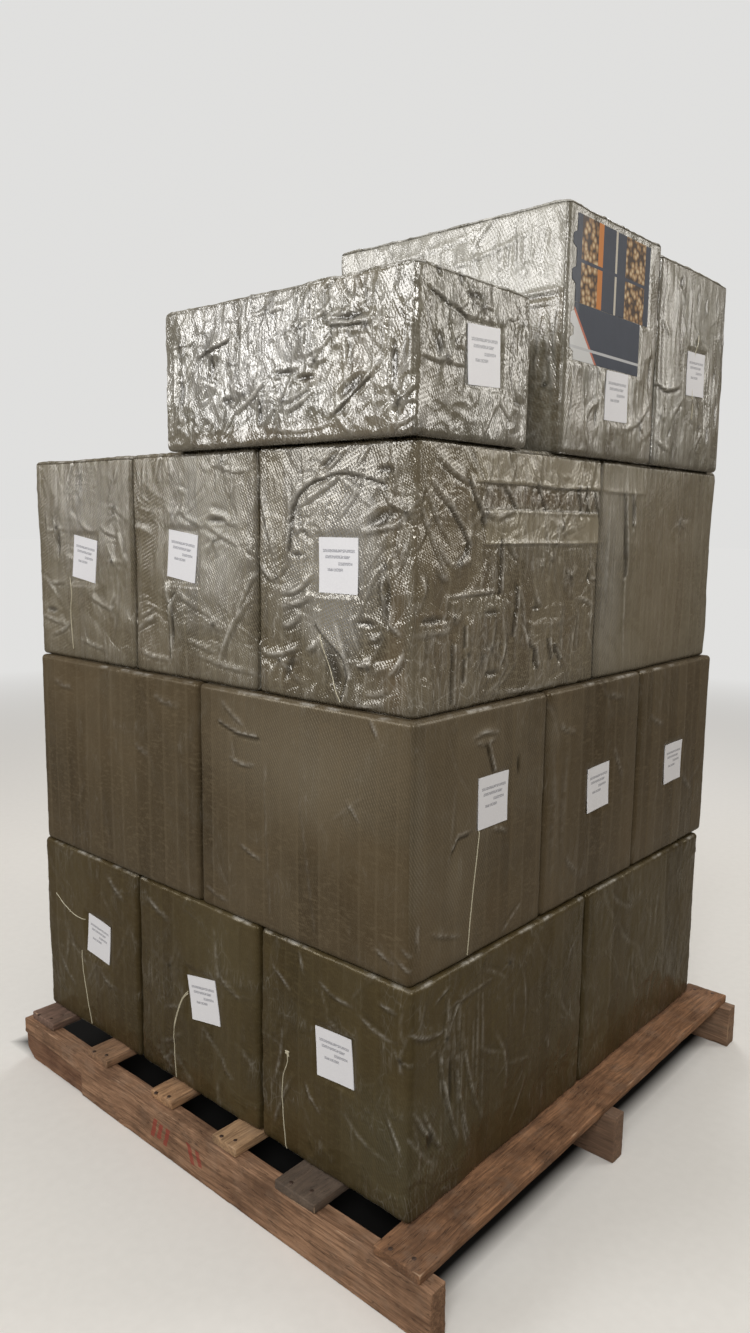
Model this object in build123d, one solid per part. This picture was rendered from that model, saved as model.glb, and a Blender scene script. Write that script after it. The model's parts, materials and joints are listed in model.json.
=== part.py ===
from build123d import *
import os

# A pallet load: wrapped cartons in four tiers on a stringer pallet, in millimetres.
# X runs along the stringers, Y along the deck boards, and Z is up from the floor.
# The front of the load faces -Y. The origin is on the floor under the middle of the pallet.

# Stringers, set on edge
stringer_length = 1410.0
stringer_width = 44.0
stringer_height = 110.0
stringer_edge = 3.0

# Deck boards, nailed across the stringers
deck_length = 1400.0
deck_thickness = 20.0
deck_edge = 2.0
# each board: distance of its left edge from the stringers' left ends, width, front setback
deck_boards = {
    "deck_board_1": (21.0, 104.0, 14.0),
    "deck_board_2": (294.0, 88.0, 11.0),
    "deck_board_3": (556.0, 82.0, 17.0),
    "deck_board_4": (795.0, 78.0, 7.0),
    "deck_board_5": (1004.0, 114.0, 0.0),
    "deck_board_6": (1269.0, 113.0, 2.0),
}

# The split at the left end of the front stringer, where the lower half has worn back
split_length = 274.0
split_height = 70.0
split_end_height = 57.0
split_depth = 7.0
worn_corner_length = 34.0
worn_corner_height = 24.0

deck_top = stringer_height + deck_thickness
deck_front = -deck_length / 2
pallet_right = stringer_length / 2

# Wrapping: woven cloth under clear film, drawn tight over each carton
wrap_thickness = 4.0
side_edge = 16.0
rim_edge = 5.0
carton_crush = 6.0
groove = 6.0

# Tier heights, as wrapped
tier_1_height = 475.0
tier_2_height = 500.0
tier_3_height = 494.0

# Tier 1: three cartons across, two deep, ends to the front
tier_1_widths = (415.0, 435.0, 421.0)
tier_1_depths = (636.0, 626.0)
tier_1_right = pallet_right - 119.0
tier_1_front = deck_front + 79.0

# Tier 2: two cartons across, three deep, sides to the front
tier_2_widths = (604.0, 656.0)
tier_2_depths = (445.0, 424.0, 421.0)
tier_2_right = pallet_right - 127.0
tier_2_front = deck_front + 80.0

# Tier 3: three cartons across, two deep, ends to the front
tier_3_widths = (409.0, 422.0, 421.0)
tier_3_depths = (648.0, 621.0)
tier_3_right = pallet_right - 143.0
tier_3_front = deck_front + 94.0

# Tier 4: a low carton at the front and two tall ones behind it, flush on the right
low_carton_length = 686.0
low_carton_width = 344.0
low_carton_height = 284.0
low_carton_overhang = 25.0
tall_carton_length = 620.0
tall_carton_widths = (412.0, 386.0)
tall_carton_heights = (492.0, 474.0)
tall_carton_front = deck_front + 538.0
tier_4_right = pallet_right - 129.0

# Paper labels, one on the end of each carton that faces out
label_width = 100.0
label_height = 104.0
label_thickness = 0.4
# each label: distance of its middle from the left edge and from the bottom of the face, tilt
tier_1_labels = {
    "front_left": (250.0, 260.0, -6.0),
    "front_middle": (249.0, 244.0, 10.0),
    "front_right": (220.0, 270.0, 4.0),
}
tier_3_labels = {
    "front_left": (220.0, 254.0, -8.0),
    "front_middle": (182.0, 272.0, -7.0),
    "front_right": (226.0, 268.0, 0.0),
}
tier_2_labels = {
    "front_right": (250.0, 309.0, 0.0),
    "middle_right": (229.0, 249.0, 2.0),
    "rear_right": (203.0, 237.0, 1.0),
}
tier_4_labels = {
    "low": (192.0, 152.0, 3.0),
    "tall_front": (226.0, 134.0, 1.0),
    "tall_rear": (213.0, 231.0, 2.0),
}

# Two printed cards, die-cut, taped flat one below the other on the front tall carton
card_thickness = 0.8
upper_card_width = 322.0
upper_card_height = 170.0
lower_card_width = 286.0
lower_card_height = 112.0
card_inset = 34.0
card_drop = 20.0
card_tab = 15.0
card_tab_height = 34.0
card_gap = 1.0

tier_2_bottom = deck_top + tier_1_height
tier_3_bottom = tier_2_bottom + tier_2_height
tier_4_bottom = tier_3_bottom + tier_3_height
pallet_left = -pallet_right


def block(x_from, x_to, y_from, y_to, z_from, z_to):
    """A straight block between two corners."""
    size = (x_to - x_from, y_to - y_from, z_to - z_from)
    middle = ((x_from + x_to) / 2, (y_from + y_to) / 2, (z_from + z_to) / 2)
    return Pos(*middle) * Box(*size)


def stringer(y_middle):
    """A sawn timber on edge with its long edges eased."""
    half = stringer_width / 2
    timber = block(pallet_left, pallet_right, y_middle - half, y_middle + half, 0, stringer_height)
    return chamfer(timber.edges().filter_by(Axis.X), stringer_edge)


def split_stringer(y_middle):
    """The front stringer: its lower left has split along the grain and worn back."""
    timber = stringer(y_middle)
    face = y_middle - stringer_width / 2
    ends = [
        (pallet_left, split_height),
        (pallet_left + split_length, split_end_height),
        (pallet_left + split_length, 0),
        (pallet_left, 0),
    ]
    scar = Plane.XZ * make_face(Polyline(*ends, close=True))
    scar = Pos(0, face + split_depth, 0) * extrude(scar, amount=split_depth)
    corner = make_face(Polyline((0, 0), (worn_corner_length, 0), (0, worn_corner_height), close=True))
    corner = extrude(Plane.XZ * corner, amount=stringer_width)
    return timber - scar - Pos(pallet_left, y_middle + stringer_width / 2, 0) * corner


def deck_board(left, width, setback):
    """A thin board across the stringers, with its long edges eased."""
    x_from = pallet_left + left
    board = block(x_from, x_from + width, deck_front + setback, -deck_front, stringer_height, deck_top)
    return chamfer(board.edges().filter_by(Axis.Y), deck_edge)


def wrapped_shape(corner, size):
    """The outside of a wrapped carton: rounded upright corners and pressed top and bottom edges."""
    length, depth, height = size
    shape = extrude(RectangleRounded(length, depth, side_edge), amount=height)
    rims = shape.edges().group_by(Axis.Z)[0] + shape.edges().group_by(Axis.Z)[-1]
    shape = chamfer(rims, rim_edge)
    return Pos(corner[0] + length / 2, corner[1] + depth / 2, corner[2]) * shape


def carton(corner, size):
    """The carton inside its wrap, its upright edges crushed flat by the drawn cloth."""
    x, y, z = (c + wrap_thickness for c in corner)
    length, depth, height = (s - 2 * wrap_thickness for s in size)
    box = block(x, x + length, y, y + depth, z, z + height)
    return chamfer(box.edges().filter_by(Axis.Z), carton_crush)


def grid(tier, rows, columns, depths, widths, right, front, bottom, height):
    """Places of the cartons of one tier, from its right and front sides."""
    places = {}
    y = front
    for row, depth in zip(rows, depths):
        x = right
        for column, width in zip(columns, widths):
            x -= width
            places[f"{tier}_{row}_{column}"] = ((x, y, bottom), (width, depth, height))
            x -= groove
        y += depth + groove
    return places


def load_places():
    """Corner and size of every wrapped carton, by name."""
    places = grid("tier_1", ("front", "rear"), ("right", "middle", "left"), tier_1_depths,
                  tier_1_widths, tier_1_right, tier_1_front, deck_top, tier_1_height)
    places |= grid("tier_2", ("front", "middle", "rear"), ("right", "left"), tier_2_depths,
                   tier_2_widths, tier_2_right, tier_2_front, tier_2_bottom, tier_2_height)
    places |= grid("tier_3", ("front", "rear"), ("right", "middle", "left"), tier_3_depths,
                   tier_3_widths, tier_3_right, tier_3_front, tier_3_bottom, tier_3_height)
    low_corner = (tier_4_right - low_carton_length, tier_3_front - low_carton_overhang, tier_4_bottom)
    places["tier_4_low"] = (low_corner, (low_carton_length, low_carton_width, low_carton_height))
    x = tier_4_right - tall_carton_length
    y = tall_carton_front
    for name, width, height in zip(("front", "rear"), tall_carton_widths, tall_carton_heights):
        places[f"tier_4_tall_{name}"] = ((x, y, tier_4_bottom), (tall_carton_length, width, height))
        y += width + groove
    return places


def label_on_front(place, spot):
    """A paper label on the face of a carton that looks to -Y."""
    (x, y, z), _ = place
    along, up, tilt = spot
    sheet = Box(label_width, label_thickness, label_height)
    return Pos(x + along, y - label_thickness / 2, z + up) * Rot(0, -tilt, 0) * sheet


def label_on_right(place, spot):
    """A paper label on the face of a carton that looks to +X."""
    (x, y, z), (length, _, _) = place
    along, up, tilt = spot
    sheet = Box(label_thickness, label_width, label_height)
    return Pos(x + length + label_thickness / 2, y + along, z + up) * Rot(tilt, 0, 0) * sheet


def card_outline(width, height):
    """A flat card with two locking tabs along its left edge."""
    step = (height - 2 * card_tab_height) / 3
    outline = [(0, 0), (width, 0), (width, height), (0, height)]
    level = height
    for _ in range(2):
        level -= step
        outline += [(0, level), (-card_tab, level - card_tab / 2)]
        level -= card_tab_height
        outline += [(-card_tab, level + card_tab / 2), (0, level)]
    return make_face(Polyline(*outline, close=True))


def card(place, width, height, top):
    """A printed card lying on the +X face of a carton, its top edge a given way down."""
    (x, y, z), (length, _, tall) = place
    flat = extrude(Plane.YZ * card_outline(width, height), amount=card_thickness)
    return Pos(x + length, y + card_inset, z + tall - top - height) * flat


def save(name, shape):
    shape.label = name
    export_step(shape, f"parts/{name}.step")


def main():
    os.makedirs("parts", exist_ok=True)
    front_y = -(deck_length - stringer_width) / 2
    save("stringer_front", split_stringer(front_y))
    save("stringer_middle", stringer(0))
    save("stringer_rear", stringer(-front_y))
    for name, spot in deck_boards.items():
        save(name, deck_board(*spot))

    places = load_places()
    for name, place in places.items():
        core = carton(*place)
        save(f"carton_{name}", core)
        save(f"wrap_{name}", wrapped_shape(*place) - core)

    fronts = [label_on_front(places[f"tier_1_{n}"], spot) for n, spot in tier_1_labels.items()]
    fronts += [label_on_front(places[f"tier_3_{n}"], spot) for n, spot in tier_3_labels.items()]
    rights = [label_on_right(places[f"tier_2_{n}"], spot) for n, spot in tier_2_labels.items()]
    rights += [label_on_right(places[f"tier_4_{n}"], spot) for n, spot in tier_4_labels.items()]
    save("labels_front", Compound(children=fronts))
    save("labels_right", Compound(children=rights))

    tall = places["tier_4_tall_front"]
    save("card_upper", card(tall, upper_card_width, upper_card_height, card_drop))
    lower_top = card_drop + upper_card_height + card_gap
    save("card_lower", card(tall, lower_card_width, lower_card_height, lower_top))


main()
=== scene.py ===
import json
from itertools import product
from math import cos, hypot, pi, radians, sin

import bpy
import numpy as np
from mathutils import Matrix, Vector

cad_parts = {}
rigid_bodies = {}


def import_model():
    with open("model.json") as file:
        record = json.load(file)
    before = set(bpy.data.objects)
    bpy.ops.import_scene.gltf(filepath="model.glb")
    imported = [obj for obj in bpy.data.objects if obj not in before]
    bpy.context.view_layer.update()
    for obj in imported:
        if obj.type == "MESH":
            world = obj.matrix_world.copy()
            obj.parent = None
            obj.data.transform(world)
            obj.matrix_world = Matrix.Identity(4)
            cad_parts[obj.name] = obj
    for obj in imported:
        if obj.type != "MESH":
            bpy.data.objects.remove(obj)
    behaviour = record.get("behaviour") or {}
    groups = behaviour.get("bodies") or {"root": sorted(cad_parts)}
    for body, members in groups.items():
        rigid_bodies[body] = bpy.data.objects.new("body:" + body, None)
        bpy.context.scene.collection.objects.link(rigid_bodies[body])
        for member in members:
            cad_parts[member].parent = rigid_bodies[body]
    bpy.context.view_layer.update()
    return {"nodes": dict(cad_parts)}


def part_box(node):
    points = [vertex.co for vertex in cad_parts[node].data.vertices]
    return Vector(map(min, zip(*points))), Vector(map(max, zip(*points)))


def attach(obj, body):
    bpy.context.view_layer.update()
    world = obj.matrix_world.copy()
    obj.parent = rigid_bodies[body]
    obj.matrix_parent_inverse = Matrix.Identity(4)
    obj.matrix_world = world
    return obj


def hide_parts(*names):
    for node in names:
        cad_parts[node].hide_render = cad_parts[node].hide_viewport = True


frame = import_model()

mm = 0.001
black = (0.0, 0.0, 0.0)


class Wire:  # a shader socket that takes Python's operators
    def __init__(self, finish, socket):
        self.finish, self.socket = finish, socket

    def __add__(self, other):
        return self.finish.sums("ADD", self, other)

    def __sub__(self, other):
        return self.finish.sums("SUBTRACT", self, other)

    def __rsub__(self, other):
        return self.finish.sums("SUBTRACT", other, self)

    def __mul__(self, other):
        return self.finish.sums("MULTIPLY", self, other)

    def __truediv__(self, other):
        return self.finish.sums("DIVIDE", self, other)

    def __rtruediv__(self, other):
        return self.finish.sums("DIVIDE", other, self)

    def __gt__(self, other):
        return self.finish.sums("GREATER_THAN", self, other)

    def __abs__(self):
        return self.finish.sums("ABSOLUTE", self)

    __radd__ = __add__
    __rmul__ = __mul__


class Finish:  # one material and its nodes
    def __init__(self, name, **constants):
        self.material = bpy.data.materials.new(name)
        self.material.use_nodes = True
        self.tree = self.material.node_tree
        self.shader = self.tree.nodes["Principled BSDF"]
        self.finishWith(**constants)

    def finishWith(self, **sockets):
        for socket, value in sockets.items():
            self.feed(self.shader.inputs[socket.replace("_", " ")], value)
        return self.material

    def node(self, kind, settings=None, inputs=None, out=0):
        made = self.tree.nodes.new(kind)
        for key, value in (settings or {}).items():
            if key == "stops":
                self.fillRamp(made.color_ramp, value)
            else:
                setattr(made, key, value)
        for key, value in (inputs or {}).items():
            self.feed(made.inputs[key], value)
        return Wire(self, made.outputs[out])

    def feed(self, socket, value):
        if isinstance(value, Wire):
            self.tree.links.new(value.socket, socket)
        else:
            socket.default_value = value

    def fillRamp(self, ramp, stops):
        while len(ramp.elements) < len(stops):
            ramp.elements.new(0.5)
        for element, (place, colour) in zip(ramp.elements, stops):
            element.position = place
            element.color = (*colour, 1) if isinstance(colour, tuple) else (colour, colour, colour, 1)

    def sums(self, operation, first, second=0.0):
        return self.node("ShaderNodeMath", {"operation": operation}, {0: first, 1: second})

    def place(self):  # metres in the row's frame, because every piece sits at the origin
        return self.node("ShaderNodeTexCoord", out=3)

    def xyz(self, vector):
        return [self.node("ShaderNodeSeparateXYZ", {}, {0: vector}, out=i) for i in range(3)]

    def vectors(self, operation, first, second):
        return self.node("ShaderNodeVectorMath", {"operation": operation}, {0: first, 1: second})

    def stretch(self, vector, scale):
        return self.vectors("MULTIPLY", vector, scale)

    def shift(self, vector, amount):
        return self.vectors("ADD", vector, amount)

    def noise(self, vector, scale, detail=3.0, roughness=0.5, distortion=0.0):
        inputs = {"Vector": vector, "Scale": scale, "Detail": detail}
        inputs |= {"Roughness": roughness, "Distortion": distortion}
        return self.node("ShaderNodeTexNoise", {}, inputs)

    def cells(self, vector, scale, feature):
        return self.node("ShaderNodeTexVoronoi", {"feature": feature}, {"Vector": vector, "Scale": scale})

    def ramp(self, value, *stops):
        return self.node("ShaderNodeValToRGB", {"stops": stops}, {"Fac": value})

    def rise(self, value, low, high):  # 0 below low and 1 above high
        return self.ramp(value, (low, 0.0), (high, 1.0))

    def mix(self, amount, first, second):
        settings = {"data_type": "RGBA", "clamp_factor": True}
        first, second = (c if isinstance(c, Wire) else (*c, 1) for c in (first, second))
        return self.node("ShaderNodeMix", settings, {0: amount, 6: first, 7: second}, out=2)

    def layered(self, colour, layers):  # colours laid one over another, each with its share first
        for amount, over in layers:
            colour = self.mix(amount, colour, over)
        return colour

    def paint(self, name):  # a number kept at the mesh's points
        return self.node("ShaderNodeAttribute", {"attribute_name": name}, out=2)

    def bump(self, height, strength, distance, under=None):
        inputs = {"Height": height, "Strength": strength, "Distance": distance}
        if under is not None:
            inputs["Normal"] = under
        return self.node("ShaderNodeBump", {}, inputs)


def shade(colour, share):
    return tuple(c * share for c in colour)


def newPiece(name, points, faces, materials, paints=None):  # points in metres, paints by point
    mesh = bpy.data.meshes.new(name)
    mesh.from_pydata(points, [], faces)
    for key, values in (paints or {}).items():
        full = np.zeros(len(points))
        full[:len(values)] = values
        mesh.attributes.new(key, "FLOAT", "POINT").data.foreach_set("value", full)
    for material in materials:
        mesh.materials.append(material)
    piece = bpy.data.objects.new(name, mesh)
    bpy.context.collection.objects.link(piece)
    return piece


# Camera, light and floor, in metres

cameraPlace = {  # fitted to the edges of the cartons in the picture
    "position": (1.607, -1.893, 1.4445),
    "azimuth": 41.42,
    "tiltDown": 8.34,
    "roll": 0.70,
    "focal": 950.0,  # in pixels, as the next one
    "pictureHeight": 1333.0,
    "sensor": 36.0,
}
lamps = {
    "window": {"at": (-3.1, -5.0, 3.2), "size": (3.0, 2.2), "power": 135, "colour": (1.0, 0.99, 0.98)},
    "sideFill": {"at": (2.9, 2.6, 2.8), "size": (1.4, 1.8), "power": 34, "colour": (1.0, 0.97, 0.92)},
    "front": {"at": (2.6, -3.4, 3.6), "size": (2.0, 1.4), "power": 112, "colour": (1.0, 0.98, 0.95)},
    "ceiling": {"at": (0.2, 0.2, 4.6), "size": (4.0, 4.0), "power": 60, "colour": (1.0, 0.99, 0.97)},
    "behind": {"at": (-2.5, 3.8, 3.0), "size": (2.4, 1.8), "power": 60, "colour": (0.97, 0.98, 1.0)},
}
lampAim = (0.0, 0.0, 1.0)
fillLight = (0.225, 0.190, 0.145)  # the world as the load meets it
seenWorld = (0.745, 0.742, 0.732)  # the world as the camera sees it
floorLooks = {
    "pale": ((0.82, 0.82, 0.81), (0.88, 0.88, 0.87)),
    "met": (0.34, 0.315, 0.275),  # the floor as the load meets it
    "under": (0.012, 0.012, 0.012),  # painted shade below the deck
    "deckShadeMiddle": -0.075,
    "deckShadeHalf": (0.73, 0.70),
    "away": 9.0,
    "half": 80.0,
}


def makeCamera():
    turn, tilt, roll = (radians(cameraPlace[k]) for k in ("azimuth", "tiltDown", "roll"))
    ahead = Vector((-sin(turn) * cos(tilt), cos(turn) * cos(tilt), -sin(tilt)))
    right = Vector((cos(turn), sin(turn), 0))
    up = right.cross(ahead)
    side = right * cos(roll) + up * sin(roll)
    top = up * cos(roll) - right * sin(roll)
    data = bpy.data.cameras.new("camera")
    data.sensor_width = cameraPlace["sensor"]
    data.lens = data.sensor_width * cameraPlace["focal"] / cameraPlace["pictureHeight"]
    camera = bpy.data.objects.new("camera", data)
    turnMatrix = Matrix((side, top, -ahead)).transposed().to_4x4()
    camera.matrix_world = Matrix.Translation(cameraPlace["position"]) @ turnMatrix
    bpy.context.collection.objects.link(camera)
    bpy.context.scene.camera = camera


def makeLamps():
    for name, lamp in lamps.items():
        data = bpy.data.lights.new(name, "AREA")
        data.shape = "RECTANGLE"
        data.size, data.size_y = lamp["size"]
        data.energy = lamp["power"]
        data.color = lamp["colour"]
        light = bpy.data.objects.new(name, data)
        light.location = lamp["at"]
        aim = Vector(lampAim) - light.location
        light.rotation_euler = aim.to_track_quat("-Z", "Y").to_euler()
        bpy.context.collection.objects.link(light)


def makeWorld():
    world = bpy.data.worlds.new("room")
    world.use_nodes = True
    bpy.context.scene.world = world
    nodes, links = world.node_tree.nodes, world.node_tree.links
    rays = nodes.new("ShaderNodeLightPath")
    pick = nodes.new("ShaderNodeMix")
    pick.data_type = "RGBA"
    pick.inputs[6].default_value = (*fillLight, 1)
    pick.inputs[7].default_value = (*seenWorld, 1)
    links.new(rays.outputs["Is Camera Ray"], pick.inputs[0])
    links.new(pick.outputs[2], nodes["Background"].inputs["Color"])


def makeFloor():
    looks = floorLooks
    finish = Finish("studio floor", Roughness=0.9, IOR=1.2, Emission_Strength=1.0)
    place = finish.place()
    near = finish.mix(finish.noise(place, 40.0, 4.0), *looks["pale"])
    x, y, _ = finish.xyz(place)
    halfX, halfY = looks["deckShadeHalf"]
    under = finish.sums("MAXIMUM", abs(x - looks["deckShadeMiddle"]) / halfX, abs(y) / halfY)
    # painted shade on the floor below the deck
    near = finish.mix(finish.ramp(under, (0.94, 1.0), (1.0, 0.0)), near, looks["under"])
    reach = finish.node("ShaderNodeVectorMath", {"operation": "LENGTH"}, {0: place}, out=1)
    away = finish.rise(reach / looks["away"], 0.25, 0.85)  # where the floor turns into the room
    seen = finish.node("ShaderNodeLightPath")
    near = finish.mix(seen, looks["met"], near)
    glow = finish.mix(away, black, finish.mix(seen, fillLight, seenWorld))
    material = finish.finishWith(Base_Color=finish.mix(away, near, black), Emission_Color=glow)
    half = looks["half"]
    corners = [(-half, -half, 0), (half, -half, 0), (half, half, 0), (-half, half, 0)]
    floor = newPiece("floor", corners, [(0, 1, 2, 3)], [material])


makeCamera()
makeLamps()
makeWorld()
makeFloor()
bpy.context.scene.view_settings.view_transform = "Standard"
print("camera, lamps and floor are in")


# Noise and rounded boxes, in millimetres

def smoothNoise(points, seed):  # gradient noise, about -1 to 1
    rng = np.random.default_rng(seed)
    order = rng.permutation(256)
    slopes = rng.normal(size=(256, 3))
    slopes /= np.linalg.norm(slopes, axis=1)[:, None]
    cell = np.floor(points).astype(np.int64)
    part = points - cell
    ease = part ** 3 * (part * (part * 6 - 15) + 10)
    total = np.zeros(len(points))
    for corner in product((0, 1), repeat=3):
        key = order[(cell[:, 0] + corner[0]) & 255]
        key = order[(key + cell[:, 1] + corner[1]) & 255]
        key = order[(key + cell[:, 2] + corner[2]) & 255]
        weight = np.prod(np.where(corner, ease, 1 - ease), axis=1)
        total += weight * ((part - corner) * slopes[key]).sum(axis=1)
    return total * 1.7


def layeredNoise(points, size, layers, seed):  # size is the widest lump in mm
    total = np.zeros(len(points))
    for layer in range(layers):
        total += 0.5 ** layer * smoothNoise(points * 2 ** layer / size, seed + layer)
    return total


def ridges(points, size, sharpness, seed):  # thin crests, 0 to 1, where the noise crosses zero
    return np.clip(1 - np.abs(smoothNoise(points / size, seed)) * sharpness, 0, 1)


def smoothStep(value, low, high):
    t = np.clip((value - low) / (high - low), 0, 1)
    return t * t * (3 - 2 * t)


def seedOf(name, step):
    return sum(ord(letter) * (i + step) for i, letter in enumerate(name)) % 9973


def nodeBox(node):
    low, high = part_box(node)
    return np.array(low) / mm, np.array(high) / mm


def sideSteps(low, high, edge, step, bends, marks=()):  # places along one side of a box
    bend = edge * (1 - np.tan(np.linspace(pi / 4, 0, bends + 1)))
    count = max(2, int(round((high - low - 2 * edge) / step)) + 1)
    flat = np.linspace(low + edge, high - edge, count)
    if len(marks):  # a mark takes the place of what is too near to it
        kept = [p for p in flat[1:-1] if min(abs(p - m) for m in marks) > step * 0.35]
        flat = np.array(sorted([flat[0], flat[-1], *kept, *marks]))
    return np.concatenate([low + bend[:-1], flat, high - bend[:-1][::-1]])


sideWays = {"x-": (0, -1), "x+": (0, 1), "y-": (1, -1), "y+": (1, 1), "z-": (2, -1), "z+": (2, 1)}


class RoundedBox:  # a lattice over a box; sides that don't show are one flat face inside a rim
    def __init__(self, low, high, edge, steps, shown, bends=3, marks=((), (), ())):
        self.low, self.high, self.edge = np.array(low, float), np.array(high, float), edge
        self.shown, self.rim = shown, bends
        self.axes = [sideSteps(self.low[a], self.high[a], edge, steps[a], bends, marks[a]) for a in range(3)]
        self.number()
        self.round()
        self.makeFaces()

    def sideSlice(self, side):
        axis, sign = sideWays[side]
        pick = [slice(None)] * 3
        pick[axis] = 0 if sign < 0 else -1
        return tuple(pick)

    def number(self):
        shape = [len(a) for a in self.axes]
        used = np.zeros(shape, bool)
        inside = slice(self.rim + 1, -self.rim - 1)
        for side, (axis, _) in sideWays.items():
            sheet = np.ones([n for a, n in enumerate(shape) if a != axis], bool)
            if side not in self.shown:
                sheet[inside, inside] = False
            used[self.sideSlice(side)] |= sheet
        self.ids = np.full(shape, -1, np.int64)
        self.ids[used] = np.arange(used.sum())
        spots = np.argwhere(used)
        self.sharp = np.stack([self.axes[a][spots[:, a]] for a in range(3)], axis=1)

    def round(self):
        inner = np.clip(self.sharp, self.low + self.edge, self.high - self.edge)
        out = self.sharp - inner
        self.out = out / np.linalg.norm(out, axis=1)[:, None]
        self.points = inner + self.out * self.edge
        self.weight = np.zeros(len(self.points))  # 1 where the surface shows, 0 on hidden sides
        for side in self.shown:
            axis, sign = sideWays[side]
            self.weight = np.maximum(self.weight, smoothStep(self.out[:, axis] * sign, 0.05, 0.7))

    def makeFaces(self):
        quads, self.caps = [], []
        inside = slice(self.rim, -self.rim)
        for side, (axis, sign) in sideWays.items():
            sheet = self.ids[self.sideSlice(side)]
            if (sign > 0) == (axis == 1):
                sheet = sheet.T
            square = np.stack([sheet[:-1, :-1], sheet[1:, :-1], sheet[1:, 1:], sheet[:-1, 1:]], axis=-1)
            if side not in self.shown:
                self.caps.append(self.loop(sheet[inside, inside]))
                square[inside, inside] = -1
            square = square.reshape(-1, 4)
            quads.append(square[(square >= 0).all(axis=1)])
        self.quads = np.concatenate(quads)

    def loop(self, sheet):
        return np.concatenate([sheet[:, 0], sheet[-1, 1:], sheet[-2::-1, -1], sheet[0, -2:0:-1]])

    def onSide(self, side):  # points that face that way, the bend with them
        axis, sign = sideWays[side]
        return np.flatnonzero(self.out[:, axis] * sign > 0.35)

    def build(self, name, materials, paints, extra=None):  # extra: points and faces in the second material
        faces = [tuple(f) for f in (*self.quads.tolist(), *(cap.tolist() for cap in self.caps))]
        points = self.points * mm
        materialOf = np.zeros(len(faces), int)
        if extra is not None:
            more, moreFaces = extra
            faces += [tuple(i + len(points) for i in face) for face in moreFaces]
            materialOf = np.concatenate([materialOf, np.ones(len(moreFaces), int)])
            points = np.concatenate([points, np.array(more) * mm])
        piece = newPiece(name, points.tolist(), faces, materials, paints)
        piece.data.polygons.foreach_set("use_smooth", np.ones(len(faces), bool))
        piece.data.polygons.foreach_set("material_index", materialOf)
        piece.data.update()
        return piece


# Wrapped cartons, in millimetres

# Looks by tier; the lower tiers are darker partly as painted shade from light that falls from above.
# cloth: the weave. pale: the painted highlight on its lit ribs, also tape and haze. silver, bright: the
# film's painted sheen.
# brown: bare cloth, also painted shade where a tone is below 0.
# tint and bend: colour and index of the film's shine. gloss: its roughness. coat: its second shine.
# weave to glint: shares of lit ribs, streaks, painted sheen, tape, painted crease shade and glints, and
# painted glints on crests.
# crumple to swell: bump of the film, how much of it is creased, and its fine and wide parts.
# crown to crush and foldHeight: rise in mm. folds and pinches: counts on one foldSide. foot: reach of painted
# shade at the foot, in mm.
wrapLooks = {
    "tier_1": {
        "cloth": (0.044, 0.031, 0.012), "pale": (0.090, 0.072, 0.036), "silver": (0.095, 0.086, 0.055),
        "bright": (0.078, 0.078, 0.052), "brown": (0.040, 0.026, 0.011), "tint": (1.0, 0.84, 0.52),
        "weave": 0.25, "haze": 0.10, "sheen": 0.16, "strips": 0.35, "lines": 0.16, "glint": 0.45,
        "gloss": 0.27, "coat": 0.10, "bend": 1.40,
        "crumple": 0.34, "creased": -0.06, "fine": 1.0, "swell": 0.8,
        "crown": 4.0, "lumps": 2.6, "crush": 1.0, "folds": 16, "pinches": 0.5, "foldHeight": 2.2, "foot": 13,
    },
    "tier_2": {
        "cloth": (0.064, 0.046, 0.025), "pale": (0.145, 0.116, 0.074), "silver": (0.135, 0.118, 0.082),
        "bright": (0.185, 0.165, 0.125), "brown": (0.040, 0.027, 0.012), "tint": (1.0, 0.86, 0.60),
        "weave": 0.40, "haze": 0.12, "sheen": 0.16, "strips": 0.28, "lines": 0.10, "glint": 0.42,
        "gloss": 0.30, "coat": 0.10, "bend": 1.40,
        "crumple": 0.18, "creased": -0.08, "fine": 1.0, "swell": 0.4,
        "crown": 2.5, "lumps": 1.4, "crush": 0.4, "folds": 8, "pinches": 0, "foldHeight": 1.3, "foot": 12,
    },
    "tier_3": {
        "cloth": (0.043, 0.032, 0.016), "pale": (0.23, 0.205, 0.145), "silver": (0.19, 0.175, 0.14),
        "bright": (0.31, 0.325, 0.35), "brown": (0.085, 0.058, 0.030), "tint": (1.0, 0.97, 0.89),
        "weave": 1.1, "haze": 0.18, "sheen": 0.40, "strips": 0.30, "lines": 0.66, "glint": 0.60,
        "gloss": 0.09, "coat": 0.35, "bend": 1.95,
        "crumple": 0.95, "creased": 0.02, "fine": 0.9, "swell": 1.0,
        "crown": 4.0, "lumps": 2.8, "crush": 1.2, "folds": 30, "pinches": 5, "foldHeight": 3.4, "foot": 16,
    },
    "tier_4": {
        "cloth": (0.040, 0.035, 0.020), "pale": (0.31, 0.305, 0.255), "silver": (0.295, 0.292, 0.270),
        "bright": (0.40, 0.41, 0.44), "brown": (0.130, 0.100, 0.058), "tint": (1.0, 0.99, 0.97),
        "weave": 0.7, "haze": 0.28, "sheen": 0.50, "strips": 0.28, "lines": 0.75, "glint": 0.75,
        "gloss": 0.07, "coat": 0.45, "bend": 2.00,
        "crumple": 1.0, "creased": 0.05, "fine": 0.45, "swell": 1.6,
        "crown": 4.0, "lumps": 2.8, "crush": 1.6, "folds": 36, "pinches": 7, "foldHeight": 3.6, "foot": 26,
    },
}
foldSide = (420.0, 490.0)  # a carton's whole side
filmReflectionSides = {  # painted reflection of broad light on the film: how much, and from which height up
    ("wrap_tier_4_tall_front", "y-"): (0.55, 325),
    ("wrap_tier_4_low", "y-"): (0.08, 0),
}
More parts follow.
